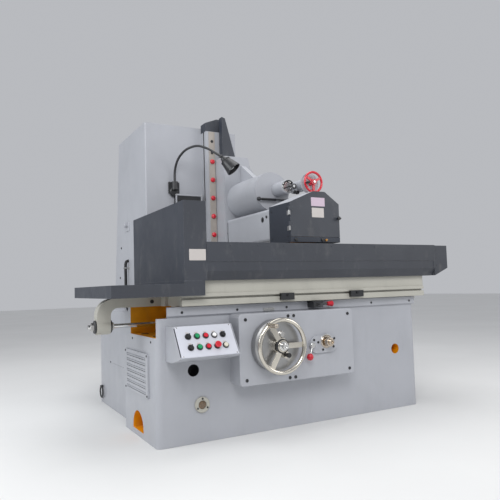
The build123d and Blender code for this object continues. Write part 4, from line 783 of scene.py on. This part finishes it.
# ---------------------------------------------------------------- table and guards
CHUCK_LOW, CHUCK_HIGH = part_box("magnetic_chuck")
GUARD_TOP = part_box("front_splash_guard")[1].z
TALL_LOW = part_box("tall_end_guard")[0]
GUARD_FACE = TALL_LOW.y
SEAM_FOOT = 1.066
plate_piece(
    "guard_blank_label", (-0.832, GUARD_FACE, 1.170), FRONT, ALONG_X, (0.112, 0.070), 0.0012, 0.004, 0.0004,
    "table", "label",
)
bm = bmesh.new()
for k in range(9):
    turned(bm, (-0.60 + 0.2 * k, GUARD_FACE - 0.003, 1.232), FRONT, dome_profile(0.0055, 0.0025), 20)
piece("guard_rivets", bm, "table", "slate_paint")
plate_piece(
    "tray_joint_strip", (TALL_LOW.x, 0.0625, 1.001), END, ALONG_Y, (1.036, 0.026), 0.0016, 0.003, 0.0004,
    "table", "slate_paint",
)
screws(
    "right_guard_screws",
    [(1.238, GUARD_FACE, z) for z in (1.09, 1.15, 1.21)],
    FRONT, 0.006, 0.0025, "table",
)
plate_piece(
    "right_seam_strap", (1.223, GUARD_FACE, (SEAM_FOOT + GUARD_TOP) / 2), FRONT, ALONG_Z,
    (GUARD_TOP - SEAM_FOOT - 0.006, 0.034), 0.0022, 0.004, 0.0006, "table", "slate_paint",
)
bm = bmesh.new()
for x in (CHUCK_LOW.x + 0.18, (CHUCK_LOW.x + CHUCK_HIGH.x) / 2, CHUCK_HIGH.x - 0.18):
    for y in (CHUCK_LOW.y + 0.015, CHUCK_HIGH.y - 0.015):
        turned(bm, (x, y, CHUCK_HIGH.z), TOP, socket_profile(0.009, 0.0022), 24)
piece("chuck_screws", bm, "table", "turned_steel")

# ---------------------------------------------------------------- column
GUIDE_X = -0.177
bm = bmesh.new()
for z in (1.42, 1.58, 1.74, 1.90, 2.06):
    turned(bm, (GUIDE_X, GUIDE_LOW.y, z), FRONT, dome_profile(0.021, 0.0155), 32)
piece("guide_red_caps", bm, "column", "red_plastic")
screws(
    "guide_screws",
    [(GUIDE_X, GUIDE_LOW.y, z) for z in (0.94, 1.10, 1.26, 2.14, 2.24)],
    FRONT, 0.013, 0.004, "column",
)
COLUMN_X = -0.747
screws(
    "column_side_plugs",
    [(COLUMN_X, 1.56, 1.365), (COLUMN_X, 1.61, 1.083)],
    END, 0.011, 0.004, "column",
)
bm = bmesh.new()
plate(bm, (COLUMN_X, 1.35, 1.545), END, ALONG_Y, (0.13, 0.085), 0.006, 0.008, 0.002)
plate(bm, (COLUMN_X - 0.0055, 1.35, 1.560), END, ALONG_Y, (0.07, 0.03), 0.03, 0.006, 0.003)
piece("column_side_bracket", bm, "column", "body_paint")
CONDUIT_Y = 1.33
CONDUIT_PATH = (
    (0.006, 1.232), (-0.018, 1.225), (-0.028, 1.195), (-0.028, 1.10),
    (-0.028, 0.98), (-0.028, 0.90), (-0.018, 0.872), (0.006, 0.865),
)
tube_piece(
    "column_conduit", [(COLUMN_X + out, CONDUIT_Y, z) for out, z in CONDUIT_PATH],
    0.013, 16, 6, False, "column", "rubber",
)
bm = bmesh.new()
for z in (1.165, 0.945):
    plate(bm, (COLUMN_X, CONDUIT_Y, z), END, ALONG_Y, (0.07, 0.022), 0.003, 0.006, 0.0008)
    plate(bm, (COLUMN_X - 0.0025, CONDUIT_Y, z), END, ALONG_Y, (0.034, 0.018), 0.042, 0.012, 0.004)
piece("conduit_clips", bm, "column", "ground_steel")

# terminal box with its framed cover, under the lamp's foot
COLUMN_FACE = 0.796
BOX_X, BOX_Z = -0.372, 1.668
FRAME_DX, FRAME_DZ = 0.117, 0.098
plate_piece(
    "terminal_box", (BOX_X, COLUMN_FACE, BOX_Z), FRONT, ALONG_X, (0.25, 0.212), 0.034, 0.008, 0.003,
    "column", "black_metal",
)
bm = bmesh.new()
for dz in (-FRAME_DZ, FRAME_DZ):
    place = (BOX_X, COLUMN_FACE - 0.0338, BOX_Z + dz)
    plate(bm, place, FRONT, ALONG_X, (0.246, 0.013), 0.004, 0.003, 0.001)
for dx in (-FRAME_DX, FRAME_DX):
    place = (BOX_X + dx, COLUMN_FACE - 0.0337, BOX_Z)
    plate(bm, place, FRONT, ALONG_Z, (0.204, 0.013), 0.004, 0.003, 0.001)
piece("terminal_box_frame", bm, "column", "body_paint")
screws(
    "terminal_box_screws",
    [
        (BOX_X + dx, COLUMN_FACE - 0.0376, BOX_Z + dz)
        for dx in (-FRAME_DX, FRAME_DX)
        for dz in (-FRAME_DZ, FRAME_DZ)
    ],
    FRONT, 0.0048, 0.0022, "column", "turned_steel",
)

# ---------------------------------------------------------------- lamp
turned_piece(
    "lamp_base_rose", (-0.5, 0.782, 1.79), FRONT,
    ((0, -0.0004), (0.042, -0.0004), (0.042, 0.006), (0.036, 0.011), (0.030, 0.012), (0, 0.012)),
    40, "column", "black_metal",
)
AIM = Vector((0.52, -0.42, -0.74)).normalized()
KNUCKLE = Vector((-0.303, 0.251, 1.996))
turned_piece(
    "lamp_bulb", KNUCKLE + AIM * 0.0975, AIM,
    (
        (0, 0), (0.013, 0), (0.014, 0.006), (0.020, 0.014),
        (0.023, 0.022), (0.021, 0.031), (0.013, 0.037), (0, 0.039),
    ),
    32, "lamp", "glass",
)
FINS = 4
FIN_PITCH = 0.012
FIN_PROFILE = ((0.030, 0), (0.0425, 0.0005), (0.0425, 0.0045), (0.030, 0.005), (0.030, 0))
bm = bmesh.new()
for k in range(FINS):
    turned(bm, KNUCKLE + AIM * (0.047 + FIN_PITCH * k), AIM, FIN_PROFILE, 40)
piece("lamp_cooling_rings", bm, "lamp", "black_metal")

# ---------------------------------------------------------------- head
HOUSING_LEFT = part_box("spindle_housing")[0].x
SADDLE_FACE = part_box("saddle")[0].y
HOUSING_BOLT = (HOUSING_LEFT, -0.06, 1.459)
turned_piece(
    "housing_bolt_seat", HOUSING_BOLT, END,
    (
        (0.012, 0.0006), (0.020, 0.0006), (0.020, -0.0004), (0.0, -0.0004),
        (0, 0.0002), (0.012, 0.0002), (0.012, 0.0006),
    ),
    36, "head", "black_metal",
)
screws("housing_bolts", [HOUSING_BOLT, (HOUSING_LEFT, -0.122, 1.474)], END, 0.010, 0.006, "head")
# painted shadow: a thin dark strip standing in for the shadowed gap between the housing and the saddle
plate_piece(
    "housing_joint_painted_shadow_strip", (HOUSING_LEFT, SADDLE_FACE - 0.0045, 1.41), END, ALONG_Z,
    (0.19, 0.007), 0.0012, 0.002, 0.0004, "head", "rubber",
)
screws(
    "saddle_screws",
    [(x, SADDLE_FACE, z) for x, z in ((-0.118, 1.415), (0.205, 1.60), (-0.118, 1.98), (-0.118, 2.05))],
    FRONT, 0.011, 0.004, "head",
)

# the gearbox's round cover with its curved handle and pointer, then the sight and the stop knob beside it
GEAR_FACE = -0.110
GEAR_X, GEAR_Z = 0.075, 1.715
GEAR_CENTRE = (GEAR_X, GEAR_FACE, GEAR_Z)
HANDLE_RADIUS = 0.044
turned_piece(
    "gearbox_cover", GEAR_CENTRE, FRONT,
    (
        (0, -0.0004), (0.046, -0.0004), (0.046, 0.003), (0.043, 0.005),
        (0.030, 0.005), (0.028, 0.0035), (0, 0.0035),
    ),
    44, "head", "turned_steel",
)
screws(
    "gearbox_screws",
    around(GEAR_CENTRE, 0.037, [30 + 60 * k for k in range(6)], -0.0048),
    FRONT, 0.0042, 0.003, "head",
)
bm = bmesh.new()
bent_tube(bm, around(GEAR_CENTRE, HANDLE_RADIUS, (165, 140, 115, 90, 65, 40), -0.018), 0.0048, 12, 6)
for foot in around(GEAR_CENTRE, HANDLE_RADIUS, (165, 40), 0.004):
    turned(bm, foot, FRONT, ((0, 0), (0.006, 0), (0.006, 0.020), (0.0048, 0.024), (0, 0.025)), 16)
POINTER = ((0.040, 0.012, 1.700), (GEAR_X, 0.016, 1.712), (0.112, 0.012, 1.722))
bent_tube(bm, [(x, GEAR_FACE - out, z) for x, out, z in POINTER], 0.0042, 12, 6)
piece("gearbox_handle", bm, "head", "black_metal")
FEED_SIGHT = (0.136, -0.100, 1.724)
turned_piece(
    "feed_sight_ring", FEED_SIGHT, FRONT,
    (
        (0, -0.0004), (0.0195, -0.0004), (0.0195, 0.010), (0.0175, 0.013),
        (0.012, 0.013), (0.0115, 0.009), (0, 0.009),
    ),
    36, "head", "black_metal",
)
turned_piece(
    "feed_sight_disc", FEED_SIGHT, FRONT,
    ((0, 0.007), (0.0114, 0.007), (0.0110, 0.0105), (0, 0.0120)),
    28, "head", "white_plastic",
)
STOP = (0.150, -0.095, 1.672)
bm = bmesh.new()
turned(
    bm, STOP, FRONT,
    ((0, 0), (0.007, 0), (0.007, 0.022), (0.015, 0.026), (0.016, 0.040), (0.013, 0.046), (0, 0.047)), 30,
)
turned(bm, STOP, TOP, ((0, -0.006), (0.011, -0.006), (0.011, 0.020), (0, 0.020)), 24)
piece("feed_stop_knob", bm, "head", "black_plastic")

# graduated disc behind the red handwheel, the wheel's hub nut and its grip
DISC = Vector((0.203, -0.222, 1.729))
DISC_EDGE = 0.0765
DISC_MARKS = 50
bm = bmesh.new()
for k in range(DISC_MARKS):
    a = 2 * math.pi * k / DISC_MARKS
    length = 0.010 if k % 5 == 0 else 0.006
    radial = Vector((math.cos(a), 0, math.sin(a)))
    centre = DISC + radial * (DISC_EDGE - length / 2) + Vector((0, 0.0004, 0))
    plate(bm, centre, FRONT, radial, (length, 0.0011), 0.0008, 0.0004, 0.0001)
piece("head_dial_marks", bm, "head", "black_metal")
HUB_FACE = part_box("head_handwheel")[0].y
turned_piece(
    "head_handwheel_nut", (DISC.x, HUB_FACE + 0.001, DISC.z), FRONT,
    ((0, -0.001), (0.012, -0.001), (0.012, 0.007), (0.0095, 0.009), (0, 0.009)),
    6, "head_wheel", "turned_steel", HEX_SHARP,
)
GRIP_FOOT = -0.2785
turned_piece(
    "head_handwheel_grip", around((DISC.x, GRIP_FOOT, DISC.z), 0.075, (190,))[0], FRONT,
    (
        (0, 0), (0.005, 0), (0.005, 0.006), (0.009, 0.010),
        (0.0105, 0.026), (0.009, 0.044), (0.005, 0.048), (0, 0.049),
    ),
    28, "head_wheel", "black_plastic",
)

# ---------------------------------------------------------------- wheel hood
DOOR_FACE = -0.439
plate_piece(
    "door_label_upper", (0.113, DOOR_FACE, 1.549), FRONT, ALONG_X, (0.118, 0.062), 0.0012, 0.003, 0.0004,
    "door", "label_rose",
)
plate_piece(
    "door_label_lower", (0.110, DOOR_FACE, 1.472), FRONT, ALONG_X, (0.104, 0.068), 0.0012, 0.003, 0.0004,
    "door", "label",
)
LATCH_Z = 1.435
bm = bmesh.new()
turned(
    bm, (0.280, DOOR_FACE - 0.0138, LATCH_Z), FRONT,
    ((0, 0), (0.012, 0), (0.013, 0.003), (0.013, 0.012), (0.010, 0.015), (0, 0.016)), 30,
)
plate(bm, (0.289, DOOR_FACE - 0.016, LATCH_Z), FRONT, ALONG_X, (0.026, 0.012), 0.006, 0.005, 0.0015)
piece("door_latch_lever", bm, "door", "black_metal")
KNOB_PROFILE = (
    (0, -0.0004), (0.007, -0.0004), (0.007, 0.002), (0.012, 0.003),
    (0.0125, 0.007), (0.010, 0.009), (0, 0.0092),
)
bm = bmesh.new()
for x in (-0.083, 0.143):
    turned(bm, (x, DOOR_FACE, 1.279), FRONT, KNOB_PROFILE, 28)
piece("hood_foot_knobs", bm, "head", "black_plastic")
turned_piece(
    "coolant_tap", (0.172, DOOR_FACE, 1.277), FRONT,
    (
        (0, -0.0004), (0.010, -0.0004), (0.010, 0.004), (0.006, 0.005), (0.006, 0.0065),
        (0.009, 0.007), (0.009, 0.009), (0, 0.0092),
    ),
    6, "head", "bronze", HEX_SHARP,
)
screws(
    "hood_side_screws",
    [(-0.123, y, z) for y in (-0.40, -0.19) for z in (1.30, 1.50)],
    END, 0.006, 0.0025, "head",
)

# ---------------------------------------------------------------- front handwheel
WHEEL_AT = Vector(JOINTS["handwheel_turn"]["pos_m"])
turned_piece(
    "handwheel_hub_nut", (WHEEL_AT.x, -0.6198, WHEEL_AT.z), FRONT,
    (
        (0, 0), (0.030, 0), (0.030, 0.010), (0.027, 0.013), (0.021, 0.013),
        (0.021, 0.034), (0.018, 0.038), (0.010, 0.038), (0.009, 0.026), (0, 0.026),
    ),
    44, "front_wheel", "chrome",
)
turned_piece(
    "handwheel_hub_collar", (WHEEL_AT.x, -0.6035, WHEEL_AT.z), FRONT,
    ((0.0385, 0), (0.046, 0), (0.046, 0.012), (0.043, 0.015), (0.0385, 0.015), (0.0385, 0)),
    44, "front_wheel", "black_metal",
)
DRUM_LOW, DRUM_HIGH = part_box("dial_drum")
DRUM_RADIUS = (DRUM_HIGH.x - DRUM_LOW.x) / 2
DRUM_MARKS = 100
bm = bmesh.new()
for k in range(DRUM_MARKS):
    a = 2 * math.pi * k / DRUM_MARKS
    radial = Vector((math.cos(a), 0, math.sin(a)))
    length = 0.016 if k % 10 == 0 else (0.011 if k % 5 == 0 else 0.007)
    centre = WHEEL_AT + radial * (DRUM_RADIUS - 0.0003)
    centre.y = DRUM_HIGH.y - 0.006 - length / 2
    plate(bm, centre, radial, ALONG_Y, (length, 0.0013), 0.0007, 0.0005, 0.0001)
piece("dial_graduations", bm, "front_wheel", "black_metal")
turned_piece(
    "drum_lock_knob", (WHEEL_AT.x + 0.018, DRUM_LOW.y, WHEEL_AT.z + 0.070), FRONT,
    (
        (0, -0.0004), (0.024, -0.0004), (0.024, 0.006), (0.019, 0.009),
        (0.019, 0.022), (0.016, 0.025), (0, 0.025),
    ),
    18, "front_wheel", "turned_steel", HEX_SHARP,
)

# throttle: curved scale above the knob, the knob's cap and its seat
THROTTLE = Vector(JOINTS["throttle_turn"]["pos_m"])
THROTTLE_CENTRE = (THROTTLE.x, FACE, THROTTLE.z)
tube_piece(
    "throttle_scale", around(THROTTLE_CENTRE, 0.049, (160, 135, 110, 85, 60, 40), -0.0135),
    0.0042, 12, 6, False, "bed", "ground_steel",
)
turned_piece(
    "throttle_cap", (THROTTLE.x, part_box("throttle_knob")[0].y, THROTTLE.z), FRONT,
    (
        (0.0, -0.0004), (0.021, -0.0004), (0.021, 0.012), (0.018, 0.015),
        (0.010, 0.015), (0.009, 0.004), (0, 0.004),
    ),
    36, "throttle", "nickel",
)
turned_piece(
    "throttle_seat", (THROTTLE.x, FACE - 0.0118, THROTTLE.z), FRONT,
    ((0.0225, 0), (0.044, 0), (0.044, 0.004), (0.040, 0.008), (0.0225, 0.008), (0.0225, 0)),
    40, "bed", "nickel",
)

# ---------------------------------------------------------------- studio
FLOOR_HALF = 30.0
FLOOR_Z = -0.0005
FLOOR_CORNERS = ((-1, -1), (1, -1), (1, 1), (-1, 1))
floor_bm = bmesh.new()
floor_bm.faces.new([floor_bm.verts.new((FLOOR_HALF * x, FLOOR_HALF * y, FLOOR_Z)) for x, y in FLOOR_CORNERS])
floor_mesh = bpy.data.meshes.new("studio_floor")
floor_bm.to_mesh(floor_mesh)
floor_bm.free()
floor = bpy.data.objects.new("studio_floor", floor_mesh)
bpy.context.scene.collection.objects.link(floor)
ground = Paint("floor_pale")
tone = ground.ramp(ground.noise(0.6, 4), ((0.3, (0.76, 0.76, 0.75)), (0.7, (0.80, 0.80, 0.79))))
floor_mesh.materials.append(ground.done(tone, 0.85))

world = bpy.data.worlds.new("studio_world")
bpy.context.scene.world = world
world.use_nodes = True
background = world.node_tree.nodes["Background"]
background.inputs["Color"].default_value = (0.93, 0.95, 1.0, 1.0)
background.inputs["Strength"].default_value = 0.52


def area(name, place, target, size, power, colour=(1, 1, 1)):
    """A rectangular light at a place, turned to its target."""
    light = bpy.data.lights.new(name, "AREA")
    light.shape = "RECTANGLE"
    light.size, light.size_y = size
    light.energy = power
    light.color = colour
    lamp = bpy.data.objects.new(name, light)
    lamp.location = place
    lamp.rotation_euler = (Vector(target) - Vector(place)).to_track_quat("-Z", "Y").to_euler()
    bpy.context.scene.collection.objects.link(lamp)


area("key_light", (-2.6, -4.6, 4.6), (0, 0.2, 0.9), (3.4, 2.6), 172)
area("side_light", (-5.2, 0.6, 3.0), (-0.6, 0.5, 1.0), (3.0, 2.6), 96, (0.95, 0.98, 1.0))
area("fill_light", (4.2, -3.6, 3.0), (0.4, 0, 0.9), (3.0, 2.4), 62)
area("top_light", (0.2, 0.5, 5.2), (0, 0.5, 1.0), (3.6, 3.0), 78)

# ---------------------------------------------------------------- camera
YAW, PITCH, ROLL = (math.radians(a) for a in (28.84, 3.854, -1.717))
forward = Vector((math.sin(YAW) * math.cos(PITCH), math.cos(YAW) * math.cos(PITCH), math.sin(PITCH)))
level = Vector((math.cos(YAW), -math.sin(YAW), 0.0))
upright = level.cross(forward)
right = level * math.cos(ROLL) + upright * math.sin(ROLL)
up = upright * math.cos(ROLL) - level * math.sin(ROLL)
camera_data = bpy.data.cameras.new("camera")
camera_data.sensor_width = 36.0
camera_data.lens = 38.96
EYE = (-2.1584, -3.5441, 0.9643)
camera = bpy.data.objects.new("camera", camera_data)
camera.matrix_world = Matrix(
    (
        (right.x, up.x, -forward.x, EYE[0]),
        (right.y, up.y, -forward.y, EYE[1]),
        (right.z, up.z, -forward.z, EYE[2]),
        (0, 0, 0, 1),
    )
)
bpy.context.scene.collection.objects.link(camera)
bpy.context.scene.camera = camera
bpy.context.scene.view_settings.view_transform = "Standard"
